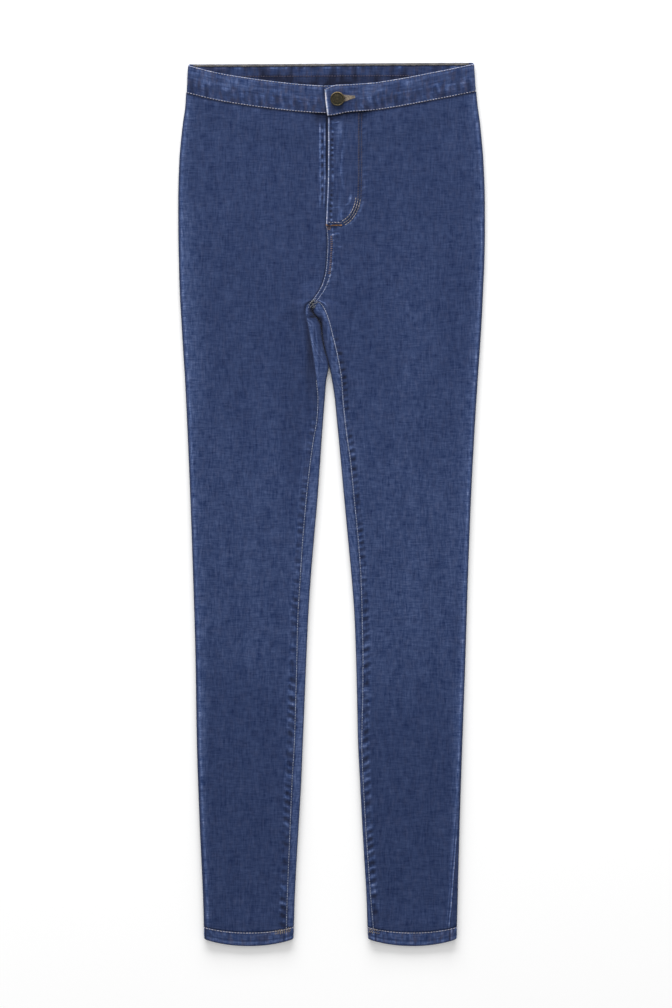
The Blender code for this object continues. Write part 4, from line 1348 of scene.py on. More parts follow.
def outer_wrap(leg, row):
    """(aside, height) from the floor, round the outer fold, to the side seam."""
    fold, seam = float(leg.outer(row)), float(leg.side_seam(row))
    half = FOLD_HEIGHT / 2
    angle = np.radians(np.linspace(-90, 0, 15))
    lower = np.stack([fold - FOLD_RUN * (1 - np.cos(angle)), half + half * np.sin(angle)], axis=1)
    inward = seam * np.linspace(0, 1, 9)[1:] ** 1.5
    upper_height = leg.skin_height(fold - inward, np.full(inward.shape, float(row)))
    upper = np.stack([fold - inward, upper_height], axis=1)
    return np.concatenate([lower, upper])


def back_section(leg, row):
    """The outer skin of a back at one row, and how far along the cloth each point lies."""
    if row >= CROTCH_DOWN:
        wrap = inner_wrap(leg, row)
        total = run_along(wrap)[-1]
        first = np.linspace(0, LAP + LAP_BLEND, LAP_COLUMNS)
        rest = np.linspace(first[-1], total, STRIP_COLUMNS + 1)[1:]
        inner = along(wrap, np.concatenate([first, rest]))
    else:
        inner = np.tile([seat_centre(row) * leg.side + GAP / 2, 0.0], (INNER_COLUMNS, 1))
    wrap = outer_wrap(leg, row)
    total = run_along(wrap)[-1] - 1.2 * GAP
    outer = along(wrap, np.linspace(0, total, OUTER_COLUMNS))
    steps = np.linspace(0, 1, UNDER_COLUMNS + 2)[1:-1, None]
    under = inner[-1] + (outer[0] - inner[-1]) * steps
    return np.concatenate([inner, under, outer])


def back_grid(leg):
    """The outer skin of a back, its hook below the crotch included."""
    rows = panel_rows(mm(bpy.context.scene.jeans_cloth.back_spacing), fine=1.0)
    rows = np.sort(np.append(rows, CROTCH_DOWN))
    sections = np.stack([back_section(leg, row) for row in rows])
    aside, z = sections[..., 0], sections[..., 1]
    row = np.broadcast_to(rows[:, None], aside.shape)
    top = top_share(z)
    down = front_down(leg, aside, row) * top + back_down(leg, aside, row) * (1 - top)
    x = aside * leg.side
    steps = np.hypot(np.diff(aside, axis=1), np.diff(z, axis=1))
    run = np.concatenate([np.zeros((len(rows), 1)), np.cumsum(steps, axis=1)], axis=1)
    floor_column = slice(INNER_COLUMNS, INNER_COLUMNS + 1)
    run = run - run[:, floor_column] + aside[:, floor_column]
    relief, tone = back_relief(leg, x, aside, down, row, z, top)
    z = np.maximum(z + relief, UNDERSIDE)
    place = np.stack([run * leg.side, -down], axis=-1) * 0.001 + (0.4 * leg.side, 1.5)
    kept = np.ones((len(rows) - 1, aside.shape[1] - 1), bool)
    kept[:, : INNER_COLUMNS - 1] &= (rows[:-1] >= CROTCH_DOWN)[:, None]
    return (x, down, z, 1.0, tone, place), kept


def back_relief(leg, x, aside, down, row, z, top):
    """Height and tone of a back: the inner thigh on the front side, and the underside."""
    s = aside - leg.inseam(row)
    ripple, shade = seam_run(leg, s, down, LEG_SEEDS[leg.side])
    from_fold = aside - leg.inner(row)
    streaks = np.sin(aside * 1.15 + 0.8 * np.sin(down / 17)) * stripe(down, 330, 45)
    strip = np.where((row > CROTCH_DOWN) & (s < 4), 1.0, 0.0) * rise(z, 2.2, 1.5)
    lighter = 0.040 * rise(down, 380, 60) + 0.070 * rise(down, 700, 120)
    # A painted shadow line on the strip beside the inseam.
    lighter = lighter - 0.085 * stripe(s, -1.3, 1.0) * rise(down, 390, 30)
    tone = (shade + 0.06 * streaks + 0.055 + lighter) * strip
    # Painted shade at the inner fold, in the valley between the thighs, and on the strip near the
    # crotch.
    valley = fall(down, 350, 20)
    tone -= (0.34 + 0.28 * valley) * hump(from_fold / (1.2 + 1.3 * valley)) * (row > CROTCH_DOWN)
    tone -= 0.26 * stripe(down, 318, 34) * strip * stripe(from_fold, 1, 7)
    tone -= 0.60 * marks(KNUCKLE_SHADES, x, down) * ease(z)
    edge = 0.11 * stripe(s, -1.6, 2.0) if leg.side < 0 else 0.06 * stripe(s, -3.0, 2.5)
    tone += edge * strip * fall(down, 375, 20)
    from_outer = leg.outer(row) - aside
    # Painted shade where the outer fold turns down.
    tone -= 0.34 * stripe(from_outer, 0.3, 1.0) * (z > 1)
    # The same painted fall of light down the legs as on the fronts.
    tone += 0.012 * rise(down, 250, 350) - 0.090 * rise(down, 640, 300)
    pressed = creases(BACK_CREASES, x, down) * (1 - ease(z / 1.2))
    seat = 0.5 * mm(bpy.context.scene.jeans_cloth.pucker)
    from_seat = aside - seat_centre(row) * leg.side
    by_seat = stripe(from_seat, 3, 6) * (row < CROTCH_DOWN) * (z < 0.5)
    seat_wave = uneven_wave(down + 0.4 * aside, 9.0, 13.0)
    tone += (0.25 * pressed - 0.06) * (1 - top) + 0.12 * seat_wave * by_seat
    height = ripple * strip + 0.06 * streaks * strip + pressed * 0.6
    return height + seat * (1 + seat_wave) * by_seat, tone


# ---- the waistband
def band_path():
    """(x, height) of the band's outer skin, from its button end round to the other."""
    fold_edge = centre_front(FLY_TOP_DOWN) - 1.5
    half = BAND_FOLD_HEIGHT / 2
    right, left, run = BAND_RIGHT, BAND_LEFT, BAND_FOLD_RUN
    under = np.concatenate([BAND_UNDER_END - np.array([0, 0.3, 0.8]), np.linspace(25.5, -20, 22)])
    under_z = BAND_UNDER_TOP + (BAND_TOP - BAND_UNDER_TOP) * ease(-under / 24)
    front_right = np.linspace(-20, right + run, 96)[1:]
    near = fall(front_right, right + run, SHOULDER)
    right_z = BAND_TOP + (BAND_FOLD_HEIGHT - BAND_TOP) * near
    angle = np.radians(np.linspace(90, -90, 18)[1:-1])
    back = np.linspace(right + run, left - run, 110)
    front_left = np.linspace(left - run, 60, 70)[:-1]
    near = fall(left - run - front_left, 0, SHOULDER)
    left_z = BAND_TOP + (BAND_FOLD_HEIGHT - BAND_TOP) * near
    end = fold_edge + np.array([0.8, 0.3, 0])
    over = np.concatenate([np.linspace(60, fold_edge + 1.4, 48), end])
    over_z = BAND_TOP + (BAND_OVER_TOP - BAND_TOP) * fall(over, 30, 24)
    x = [under, front_right, right + run - run * np.cos(angle), back]
    x += [left - run + run * np.cos(angle), front_left, over]
    z = [under_z, right_z, half + half * np.sin(angle), np.zeros(back.shape)]
    z += [half - half * np.sin(angle), left_z, over_z]
    path = np.stack([np.concatenate(x), np.concatenate(z)], axis=1)
    return path, len(over) + 8


def band_down(x, front, share):
    """Down of a point of the band: share is 0 at its top edge and 1 at its bottom."""
    back_top = 0.9 - 0.9 * np.sin(x / 110)
    top = waist_front(x) * front + back_top * (1 - front)
    bottom = (waist_front(x) + BAND_HEIGHT) * front + (FIRST_ROW - GAP) * (1 - front)
    return top + (bottom - top) * share


def section_loop(height, thickness, face_rows, inner_rows):
    """A strip's cross-section with round edges: (down from the top edge, depth) of its points."""
    r = thickness / 2
    turn = np.radians([30, 60, 90, 120, 150])
    face = np.linspace(r, height - r, face_rows)
    inside = np.linspace(height - r, r, inner_rows)
    down = np.concatenate([face, height - r + r * np.sin(turn), inside, r - r * np.sin(turn)])
    round_over = r - r * np.cos(turn)
    depth = np.concatenate(
        [np.zeros(face_rows), round_over, np.full(inner_rows, thickness), round_over[::-1]]
    )
    return down, depth


def band_relief(run, d, upper):
    """Bulge and tone of the waistband's outer face. d is how far below its top edge."""
    blotches = cloud(run, d, 8.0, 9.0, 41) + 0.4 * cloud(run + 0.5 * d, d, 4.2, 6.0, 42)
    soft = cloud(run, d, 19.0, 9.0, 43)
    roping = 0.6 * uneven_wave(run + 0.8 * d, 6.6, 15.0) + 0.6 * cloud(run + d, d, 3.6, 8.0, 44)
    from_foot = BAND_HEIGHT - d
    in_face = rise(d, 1.5, 4) * rise(from_foot, 1.5, 4)
    by_edge = stripe(from_foot, 5, 4)
    bulge = (0.15 * blotches + 0.10 * soft) * in_face + 0.22 * roping * by_edge
    bulge -= 0.30 * stripe(from_foot, 1.2, 1.0) + 0.22 * stripe(d, 1.4, 1.0)
    lower_half = rise(d, 15, 12)
    tone = (0.068 * blotches + 0.05 * soft + 0.030 - 0.050 * lower_half) * in_face
    wrinkle = 0.7 * uneven_wave(run + 0.15 * d, 9.5, 19.0) + 0.8 * cloud(run, d, 4.6, 10.0, 50)
    wrinkle = wrinkle * rise(d, 14, 8) * rise(from_foot, 0, 3)
    bulge += 0.10 * wrinkle
    # Painted light on the wrinkles' crests and painted shade in their troughs.
    tone += 0.11 * clipped(wrinkle) - 0.50 * clipped(-wrinkle)
    tone -= 0.26 * clipped(blotches - 0.4) * (0.4 + 0.6 * lower_half)
    streak = clipped(cloud(run, d, 9.0, 60.0, 45) + 0.45)
    sway = np.sin(run / 37)
    tone += 0.15 * streak * stripe(d, 18.5 + 2.0 * sway, 1.1)
    tone += 0.07 * cloud(run, d + 1.4 * sway, 16.0, 1.8, 46) * in_face
    # Painted shade in the roping's troughs, and a painted shadow along the band's foot.
    tone -= 0.24 * clipped(-roping) * by_edge
    tone += (0.18 * stripe(from_foot, 0.9, 1.2) - 0.75 * stripe(from_foot, -0.3, 0.6)) * upper
    tone += 0.07 * stripe(d, 3.2, 2.6)
    tone += (0.66 + 0.25 * cloud(run, d, 5.0, 9.0, 47)) * stripe(d, -0.1, 0.85)
    return bulge, tone


def band_frame():
    """The band's path, its outward direction, how far it has run, and which columns lap over."""
    path, over_columns = band_path()
    outward = outward_of(np.gradient(path, axis=0))
    over = np.arange(len(path)) >= len(path) - over_columns
    return path, outward, run_along(path), over


def band_place(path, over, in_band):
    """(x, down) of the band's outer skin, this far below its top edge."""
    x, front = path[:, 0], top_share(path[:, 1])
    share = in_band / BAND_HEIGHT
    half = BAND_HEIGHT / 2
    down = band_down(x, front, share)
    outer = np.where(x > 0, LEGS[1].outer(down), LEGS[0].outer(down))
    x = x * outer / np.where(x > 0, LEGS[1].outer(half), LEGS[0].outer(half))
    lean = END_LEAN * (2 * share**2 - 1) * fall(x, CHAMFER[0], 30)
    x = x + over * lean
    from_corner = np.clip((x - CHAMFER[0]) / CHAMFER[1], 0, 1)
    corner = CHAMFER[2] * (1 - from_corner) ** 1.5 * (1 - share) ** 4
    return x, down + over * (overlap_droop(x) * share + corner)


def waistband_mesh():
    """One long strip, open at the front, its ends lying on each other."""
    path, outward, run, over = band_frame()
    upper = top_share(path[:, 1])
    end = np.minimum(run, run[-1] - run)
    squeeze = np.sqrt(1 - np.square(1 - np.clip(end / (BANDED / 2), 0.02, 1)))
    in_band, depth = section_loop(BAND_HEIGHT, BANDED, 46, 30)
    d = in_band[:, None]
    x, down = band_place(path, over, d)
    bulge, tone = band_relief(run, d, upper)
    outside = 1 - depth[:, None] / BANDED
    move = bulge * outside * squeeze - (BANDED / 2 + (depth[:, None] - BANDED / 2) * squeeze)
    x = x + outward[:, 0] * move
    z = np.maximum(path[:, 1] + outward[:, 1] * move, UNDERSIDE)
    end_wear = 1.15 + 0.15 * uneven_wave(d, 9.0, 18.0)
    tone = tone + over * end_wear * stripe(run[-1] - run, 0.7, 1.25)
    # Painted shadow of the buttonhole's end on the band beneath it.
    tone = tone - 0.85 * (~over) * upper * stripe(x, x[:, -1:] - 1.0, 1.5)
    inner_face = rise(depth[:, None] / BANDED, 0.48, 0.3)
    mottled = 0.75 * cloud(run, d, 5.0, 14.0, 48) + 0.30 * cloud(run, d, 17.0, 9.0, 49)
    # Inside the back: mottled, with painted shade over its lower part beside the front band's top
    # edge, and a dark line under the bound edge.
    inner_tone = np.minimum(mottled - 0.26, 0.005)
    inner_tone = inner_tone - 0.52 * rise(d, 11.4, 2.4) - 0.50 * stripe(d, 3.4, 0.9)
    inner_tone += 0.42 * stripe(d, 4.7, 0.8)
    tone = tone * (1 - inner_face) + inner_tone * inner_face
    place = np.stack(np.broadcast_arrays(run[None, :], -d - depth[:, None]), axis=-1)
    faces = grid_faces(*x.shape, closed_rows=True)
    count = x.shape[1]
    ends = [list(range(0, x.size, count)), list(range(count - 1, x.size, count))[::-1]]
    points = points_of(x, down, z)
    place = place * 0.001 + (0.0, 3.0)
    return build_mesh("waistband_cloth", points, list(faces) + ends, tone, place)


def keyhole_cutter():
    """A keyhole: a round eyelet for the button's shank, and a narrow slit beside it."""
    opening = math.asin(SLIT_WIDTH / 2 / EYELET_RADIUS)
    angles = np.linspace(opening, 2 * math.pi - opening, 25)
    outline = [(EYELET_RADIUS * math.cos(a), EYELET_RADIUS * math.sin(a)) for a in angles]
    outline += [(SLIT_LENGTH, -SLIT_WIDTH / 2), (SLIT_LENGTH, SLIT_WIDTH / 2)]
    shape = bmesh.new()
    corners = [shape.verts.new(buttonhole_point(x, y, 5.4)) for x, y in outline]
    grown = bmesh.ops.extrude_face_region(shape, geom=[shape.faces.new(corners)])
    raised = [v for v in grown["geom"] if isinstance(v, bmesh.types.BMVert)]
    bmesh.ops.translate(shape, verts=raised, vec=(0, 0, 0.005))
    bmesh.ops.recalc_face_normals(shape, faces=shape.faces)
    return placed_shape("keyhole_cutter", shape)


def buttonhole_point(along_slit, across_slit, z):
    """A point beside the buttonhole, in metres."""
    c, s = math.cos(SLIT_TILT), math.sin(SLIT_TILT)
    x = BUTTON_X + along_slit * c - across_slit * s
    down = BUTTON_DOWN - along_slit * s - across_slit * c
    return Vector((x, WAIST_Y - down, z)) * 0.001


# ---- hems
def hem_path(leg, row):
    """(aside, height) round a hem's outer skin at one row."""
    half = (FOLD_HEIGHT + HEM_PROUD) / 2
    run = FOLD_RUN + 0.3
    fold_in, fold_out = float(leg.inner(row)), float(leg.outer(row))
    a, b = fold_in + run, fold_out - run
    top = np.linspace(b, a, 120)
    near = fall(np.minimum(top - fold_in, fold_out - top), run, SHOULDER)
    top_z = HEM_TOP + (2 * half - HEM_TOP) * near + 0.4 * soft_waves(top * leg.side, row)
    angle = np.radians(np.linspace(90, -90, 16)[1:-1])
    reach_in = np.where(angle > 0, top_z[-1] - half, half)
    reach_out = np.where(angle > 0, top_z[0] - half, half)
    under = np.linspace(a, b, 30)
    aside = [top, a - run * np.cos(angle), under, b + run * np.cos(angle)]
    z = [top_z, half + reach_in * np.sin(angle), np.zeros(under.shape)]
    z.append((half + reach_out * np.sin(angle))[::-1])
    return np.stack([np.concatenate(aside), np.concatenate(z)], axis=1)


def hem_down(leg, aside, height, share):
    """Down of a point of the hem: share is 0 at its top edge and 1 at its bottom."""
    top = top_share(height)
    first = front_down(leg, aside, LAST_ROW) * top
    first = first + back_down(leg, aside, LAST_ROW) * (1 - top) + HEM_GAP
    across = np.abs(leg.across(aside, HEM_CORNER))
    on_top = HEM_DIP * (1 - across**HEM_ROUNDNESS)
    beneath = BACK_HEM_DIP * (1 - across**2)
    return first + (HEM_CORNER + on_top * top + beneath * (1 - top) - first) * share


def hem_ring(leg, in_hem, inward):
    """A ring round a hem, this far below its top edge and this deep: (points, tone, place)."""
    first_row = LAST_ROW + HEM_GAP
    length = HEM_CORNER - first_row
    path = hem_path(leg, first_row + in_hem)
    outward = outward_of(np.roll(path, -1, axis=0) - np.roll(path, 1, axis=0))
    run = run_along(path)
    aside, z = path[:, 0], path[:, 1]
    rope = 0.6 * uneven_wave(run - 0.9 * in_hem, 9.5, 20.0 + leg.side)
    rope += 0.7 * cloud(run + 0.5 * in_hem, in_hem, 4.2, 9.0, 53 + leg.side)
    face = (1 - np.maximum(inward, 0) / BANDED) * rise(z, 1.5, 2)
    bulge = 0.24 * rope * stripe(in_hem, length / 2, length / 2)
    bulge = bulge - 0.20 * stripe(in_hem, 2.0, 1.0)
    from_side = leg.outer(HEM_CORNER) - leg.side_seam(HEM_CORNER) - aside
    from_inseam = aside - leg.inseam(HEM_CORNER)
    seams = stripe(from_inseam, 1, 2.2) + stripe(from_side, 0, 1.8)
    move = (bulge + 0.32 * seams) * face - inward
    down = hem_down(leg, aside, z, in_hem / length)
    moved_z = np.maximum(z + outward[:, 1] * move, UNDERSIDE)
    moved = points_of((aside + outward[:, 0] * move) * leg.side, down, moved_z)

    streaks = cloud(run + 0.3 * in_hem, in_hem, 2.2, 16.0, 63 + leg.side)
    ridge = 0.75 + 0.35 * cloud(run, in_hem, 14.0, 30.0, 65)
    from_end = length - in_hem
    # Painted light on the roping and on the ridge above the fold, and painted shade along the hem's
    # lower edge.
    tone = 0.05 * rope + 0.035 * streaks + 0.052
    tone -= 0.28 * clipped(streaks - 0.35) * stripe(in_hem, 0.6 * length, 6)
    tone += 0.13 * ridge * stripe(from_end, 3.4, 1.2) - 0.12 * stripe(from_end, 5.8, 0.9)
    tone += 0.17 * stripe(in_hem, 0.1, 0.8) - 0.22 * stripe(from_end, 0, 1.1)
    tone += 0.14 * stripe(from_inseam, -0.5, 1.2) - 0.60 * stripe(from_inseam, 2.6, 0.9)
    tone += 0.22 * stripe(from_side, -2.2, 1.1) - 0.80 * stripe(from_side, -0.2, 1.0)
    tone = tone * (1 - inward / BANDED) - 0.25 * inward / BANDED
    place = np.stack([run, np.full(run.shape, -in_hem - inward)], axis=-1) * 0.001
    return moved, tone, place + (0.3 * leg.side, 4.0)


def hem_mesh(leg):
    """The turned-up hem: a flattened ring at the end of the leg."""
    section = section_loop(HEM_CORNER - LAST_ROW - HEM_GAP, BANDED, 26, 8)
    rings = [hem_ring(leg, in_hem, inward) for in_hem, inward in zip(*section)]
    points, tone, place = (np.stack([ring[k] for ring in rings]) for k in range(3))
    faces = grid_faces(*tone.shape, closed_rows=True, closed_columns=True)
    if leg.side < 0:
        faces = faces[:, ::-1]
    return build_mesh(f"{leg.name}_hem", points, faces, tone, place)


# ---- geometry trees
def new_tree(name, sockets):
    """An empty Geometry Nodes tree with these inputs: name -> kind."""
    tree = bpy.data.node_groups.new(name, "GeometryNodeTree")
    tree.interface.new_socket("Geometry", in_out="INPUT", socket_type="NodeSocketGeometry")
    for socket_name, kind in sockets.items():
        tree.interface.new_socket(socket_name, in_out="INPUT", socket_type=kind)
    tree.interface.new_socket("Geometry", in_out="OUTPUT", socket_type="NodeSocketGeometry")
    given, out = tree.nodes.new("NodeGroupInput").outputs, tree.nodes.new("NodeGroupOutput").inputs
    return tree, given, out


def stitch_tree():
    """Lays a stitch on every step of the lines that it is given, along them or across."""
    found = bpy.data.node_groups.get("Stitches along lines")
    if found:
        return found
    numbers = ("Pitch", "Length", "Width", "Height", "Turn", "Unevenness")
    sockets = dict.fromkeys(numbers, "NodeSocketFloat")
    sockets |= {"Seed": "NodeSocketInt", "Material": "NodeSocketMaterial"}
    tree, given, out = new_tree("Stitches along lines", sockets)
    tangent = add(tree, "GeometryNodeInputTangent").outputs[0]
    aligned = add(tree, "FunctionNodeAlignRotationToVector", {"Vector": tangent}, axis="X")
    wobble = random_node(tree, given["Seed"], 0, -1.0, 1.0)
    wobble = math_node(tree, "MULTIPLY", wobble, given["Unevenness"])
    turned = math_node(tree, "ADD", given["Turn"], math_node(tree, "MULTIPLY", wobble, 0.5))
    spin = add(tree, "ShaderNodeCombineXYZ", {"Z": turned}).outputs[0]
    rotation = add(
        tree,
        "FunctionNodeRotateRotation",
        {"Rotation": aligned.outputs[0], "Rotate By": spin},
        rotation_space="LOCAL",
    ).outputs[0]
    stretch = random_node(tree, given["Seed"], 1, -1.0, 1.0)
    stretch = math_node(tree, "MULTIPLY", stretch, given["Unevenness"])
    size = math_node(tree, "ADD", 1.0, stretch)
    long_size = math_node(tree, "MULTIPLY", given["Length"], size)
    scale = add(
        tree,
        "ShaderNodeCombineXYZ",
        {"X": long_size, "Y": given["Width"], "Z": given["Height"]},
    ).outputs[0]
    bead = add(tree, "GeometryNodeMeshUVSphere", {"Segments": 6, "Rings": 5, "Radius": 0.5})
    smooth = add(tree, "GeometryNodeSetShadeSmooth", {"Geometry": bead.outputs[0]}).outputs[0]
    lay_on_lines(tree, given, out, {"Instance": smooth, "Rotation": rotation, "Scale": scale})
    return tree


def lay_on_lines(tree, given, out, placing):
    """Ends a tree: an instance on every step of the given lines, realized, in its material."""
    lines = add(tree, "GeometryNodeMeshToCurve", {"Mesh": given["Geometry"]}).outputs[0]
    inputs = {"Curve": lines, "Length": given["Pitch"]}
    steps = add(tree, "GeometryNodeResampleCurve", inputs, mode="LENGTH").outputs[0]
    laid = add(tree, "GeometryNodeInstanceOnPoints", {"Points": steps, **placing}).outputs[0]
    real = add(tree, "GeometryNodeRealizeInstances", {"Geometry": laid}).outputs[0]
    done = add(tree, "GeometryNodeSetMaterial", {"Geometry": real, "Material": given["Material"]})
    tree.links.new(done.outputs[0], out[0])


def random_node(tree, seed, number, low, high):
    """A random value for each point; number keeps two of them apart."""
    made = add(tree, "FunctionNodeRandomValue", data_type="FLOAT")
    made.inputs[2].default_value = low
    made.inputs[3].default_value = high
    shifted = math_node(tree, "ADD", seed, float(number * 101))
    tree.links.new(shifted, made.inputs["Seed"])
    return made.outputs[1]


def set_inputs(modifier, values):
    """Sets a Geometry Nodes modifier's inputs by the names of their sockets."""
    for item in modifier.node_group.interface.items_tree:
        if item.item_type == "SOCKET" and item.in_out == "INPUT" and item.name in values:
            modifier[item.identifier] = values[item.name]


def lines_object(name, lines):
    """An object of loose edges, from polylines of points in metres."""
    points, edges = [], []
    for line in lines:
        start = len(points)
        points += [tuple(p) for p in line]
        edges += [(start + k, start + k + 1) for k in range(len(line) - 1)]
    mesh = bpy.data.meshes.new(name)
    mesh.from_pydata(points, edges, [])
    return placed(name, mesh)


def sew(
    name, lines, material, length=0.78, turn=0.0, pitch=None, width=None, wander=0.1, size=None
):
    """One piece of stitches along these lines. length is a stitch's share of its pitch."""
    thread = bpy.context.scene.jeans_thread
    pitch, width = pitch or thread.pitch, width or thread.width
    made = lines_object(name, lines)
    modifier = made.modifiers.new("stitches", "NODES")
    modifier.node_group = stitch_tree()
    values = {
        "Pitch": float(pitch),
        "Length": float(size or pitch * length),
        "Width": float(width),
        "Height": float(0.7 * width),
        "Turn": float(turn),
        "Unevenness": float(wander),
        "Seed": int(thread.seed),
        "Material": material,
    }
    set_inputs(modifier, values)
    return finished(made)


def joined(name, pieces):
    """Several plain meshes as one object."""
    shape = bmesh.new()
    materials = []
    for piece in pieces:
        start = len(shape.faces)
        slots = list(piece.data.materials)
        shape.from_mesh(piece.data)
        shape.faces.ensure_lookup_table()
        for face in shape.faces[start:]:
            material = slots[face.material_index]
            if material not in materials:
                materials.append(material)
            face.material_index = materials.index(material)
    for piece in pieces:
        bpy.data.objects.remove(piece)
    made = placed_shape(name, shape)
    for material in materials:
        made.data.materials.append(material)
    return made


# ---- lines of sewing
def front_line(leg, from_edge, rows, lift=0.1):
    """A line on a front, this far from its inner edge."""
    aside = leg.front_edge(rows) + from_edge
    x, down, z, _, _ = front_skin(leg, aside, rows)
    return points_of(x, down, z + lift)


def j_line(width, first, last):
    """A row of the J between two places down the fly."""
    leg = LEGS[1]
    down = np.linspace(first, last, 90)
    aside = leg.front_edge(down) + j_row(down, width)
    rows = down.copy()
    for _ in range(6):
        rows = rows - (front_down(leg, aside, rows) - down)
    x, at, z, _, _ = front_skin(leg, aside, rows)
    return points_of(x, at, z + 0.1)


# ---- operators
class JeansOperator:
    """What the operators share."""

    bl_options = {"REGISTER", "UNDO"}


class JEANS_OT_fronts(JeansOperator, bpy.types.Operator):
    """Make both front panels. The left one carries the fly"""

    bl_idname = "jeans.fronts"
    bl_label = "Fronts"

    def execute(self, context):
        for leg in LEGS:
            grid = front_grid(leg)
            made = shell(f"{leg.name}_front", grid, DOUBLED, flip=leg.side < 0)
            declare(made, f"front_{leg.name}")
            cut_area(*grid[:3])
        return {"FINISHED"}


class JEANS_OT_backs(JeansOperator, bpy.types.Operator):
    """Make both back panels, which wrap round the legs' folds"""

    bl_idname = "jeans.backs"
    bl_label = "Backs"

    def execute(self, context):
        for leg in LEGS:
            grid, kept = back_grid(leg)
            made = shell(f"{leg.name}_back", grid, DENIM, flip=leg.side < 0, kept=kept)
            declare(made, f"back_{leg.name}")
            across = float(leg.outer(HIP_DOWN)) + SEAT_REACH
            cut_area(*grid[:3], kept=kept)
        return {"FINISHED"}


class JEANS_OT_waistband(JeansOperator, bpy.types.Operator):
    """Make the waistband and cut its buttonhole"""

    bl_idname = "jeans.waistband"
    bl_label = "Waistband"

    def execute(self, context):
        made = waistband_mesh()
        made.data.materials.append(band_denim())
        cutter = keyhole_cutter()
        cut = made.modifiers.new("buttonhole", "BOOLEAN")
        cut.object = cutter
        cut.operation = "DIFFERENCE"
        finished(made)
        bpy.data.objects.remove(cutter)
        declare(made, "waistband")
        length = float(run_along(band_path()[0])[-1]) * 0.001
        return {"FINISHED"}


class JEANS_OT_hems(JeansOperator, bpy.types.Operator):
    """Make the hem of each leg"""

    bl_idname = "jeans.hems"
    bl_label = "Hems"

    def execute(self, context):
        for leg in LEGS:
            made = hem_mesh(leg)
            made.data.materials.append(band_denim())
            declare(made, f"hem_{leg.name}")
            around = float(run_along(hem_path(leg, HEM_CORNER))[-1]) * 0.001
        return {"FINISHED"}


class JEANS_OT_button(JeansOperator, bpy.types.Operator):
    """Make the shank button"""

    bl_idname = "jeans.button"
    bl_label = "Button"

    def execute(self, context):
        declare(button_mesh(), "button")
        return {"FINISHED"}


class JEANS_OT_zip(JeansOperator, bpy.types.Operator):
    """Make the closed zip behind the fly"""

    bl_idname = "jeans.zip"
    bl_label = "Zip"

    def execute(self, context):
        declare(zip_mesh(), "zip")
        return {"FINISHED"}


class JEANS_OT_stitching(JeansOperator, bpy.types.Operator):
    """Sew the topstitching, the fly's J, the bar tack and the buttonhole"""

    bl_idname = "jeans.stitching"
    bl_label = "Stitching"

    def execute(self, context):
        colours = context.scene.jeans_thread
        thread = {
            name: thread_material(f"{name.title()} thread", getattr(colours, name))
            for name in THREAD_COLOURS
        }
        groups = {
            "seam_stitches": seam_sewing(thread),
            "waistband_stitches": waistband_sewing(thread),
            "hem_stitches": hem_sewing(thread),
            "fly_stitches": fly_sewing(thread),
        }
        for name, pieces in groups.items():
            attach(joined(name, pieces), "root")
        return {"FINISHED"}


class JEANS_OT_stage(JeansOperator, bpy.types.Operator):
    """Make the floor, the soft light and the camera over the jeans"""

    bl_idname = "jeans.stage"
    bl_label = "Stage"

    def execute(self, context):
        set_stage(context.scene)
        return {"FINISHED"}


class JEANS_PT_maker(bpy.types.Panel):
    """Lists the pieces of the jeans"""

    bl_label = "Jeans"
    bl_space_type = "VIEW_3D"
    bl_region_type = "UI"
    bl_category = "Jeans"

    def draw(self, context):
        for operator in OPERATORS:
            self.layout.operator(operator.bl_idname)
        for name in SETTINGS:
            settings = getattr(context.scene, name)
            box = self.layout.box()
            for setting in settings.bl_rna.properties:
                if not setting.is_readonly and setting.identifier != "name":
                    box.prop(settings, setting.identifier)


OPERATORS = (
    JEANS_OT_fronts,
    JEANS_OT_backs,
    JEANS_OT_waistband,
    JEANS_OT_hems,
    JEANS_OT_button,
    JEANS_OT_zip,
    JEANS_OT_stitching,
    JEANS_OT_stage,
)


# ---- button and zip
def spun(profile, steps):
    """A closed solid of revolution from (radius, height) pairs, in metres."""
    shape = bmesh.new()
    ring = [shape.verts.new((r * 0.001, 0, z * 0.001)) for r, z in profile]
    edges = [shape.edges.new(pair) for pair in zip(ring, ring[1:])]
    bmesh.ops.spin(
        shape,
        geom=ring + edges,
        cent=(0, 0, 0),
        axis=(0, 0, 1),
        angle=math.tau,
        steps=steps,
        use_merge=True,
    )
    bmesh.ops.remove_doubles(shape, verts=shape.verts, dist=1e-6)
    bmesh.ops.recalc_face_normals(shape, faces=shape.faces)
    return shape


# The button's cap, in heights above the cloth.
FACE_HEIGHT = 2.65
FACE_DOMING = 0.35
FACE_FOOT = 2.22
RIM_FOOT = 2.25
RIM_PROUD = 0.85
CAP_SIDE = ((0, 1.5), (0.15, 0.9), (0.6, 0.5), (1.3, 0.3))  # in from its radius, height
BUTTON_STEPS = 48


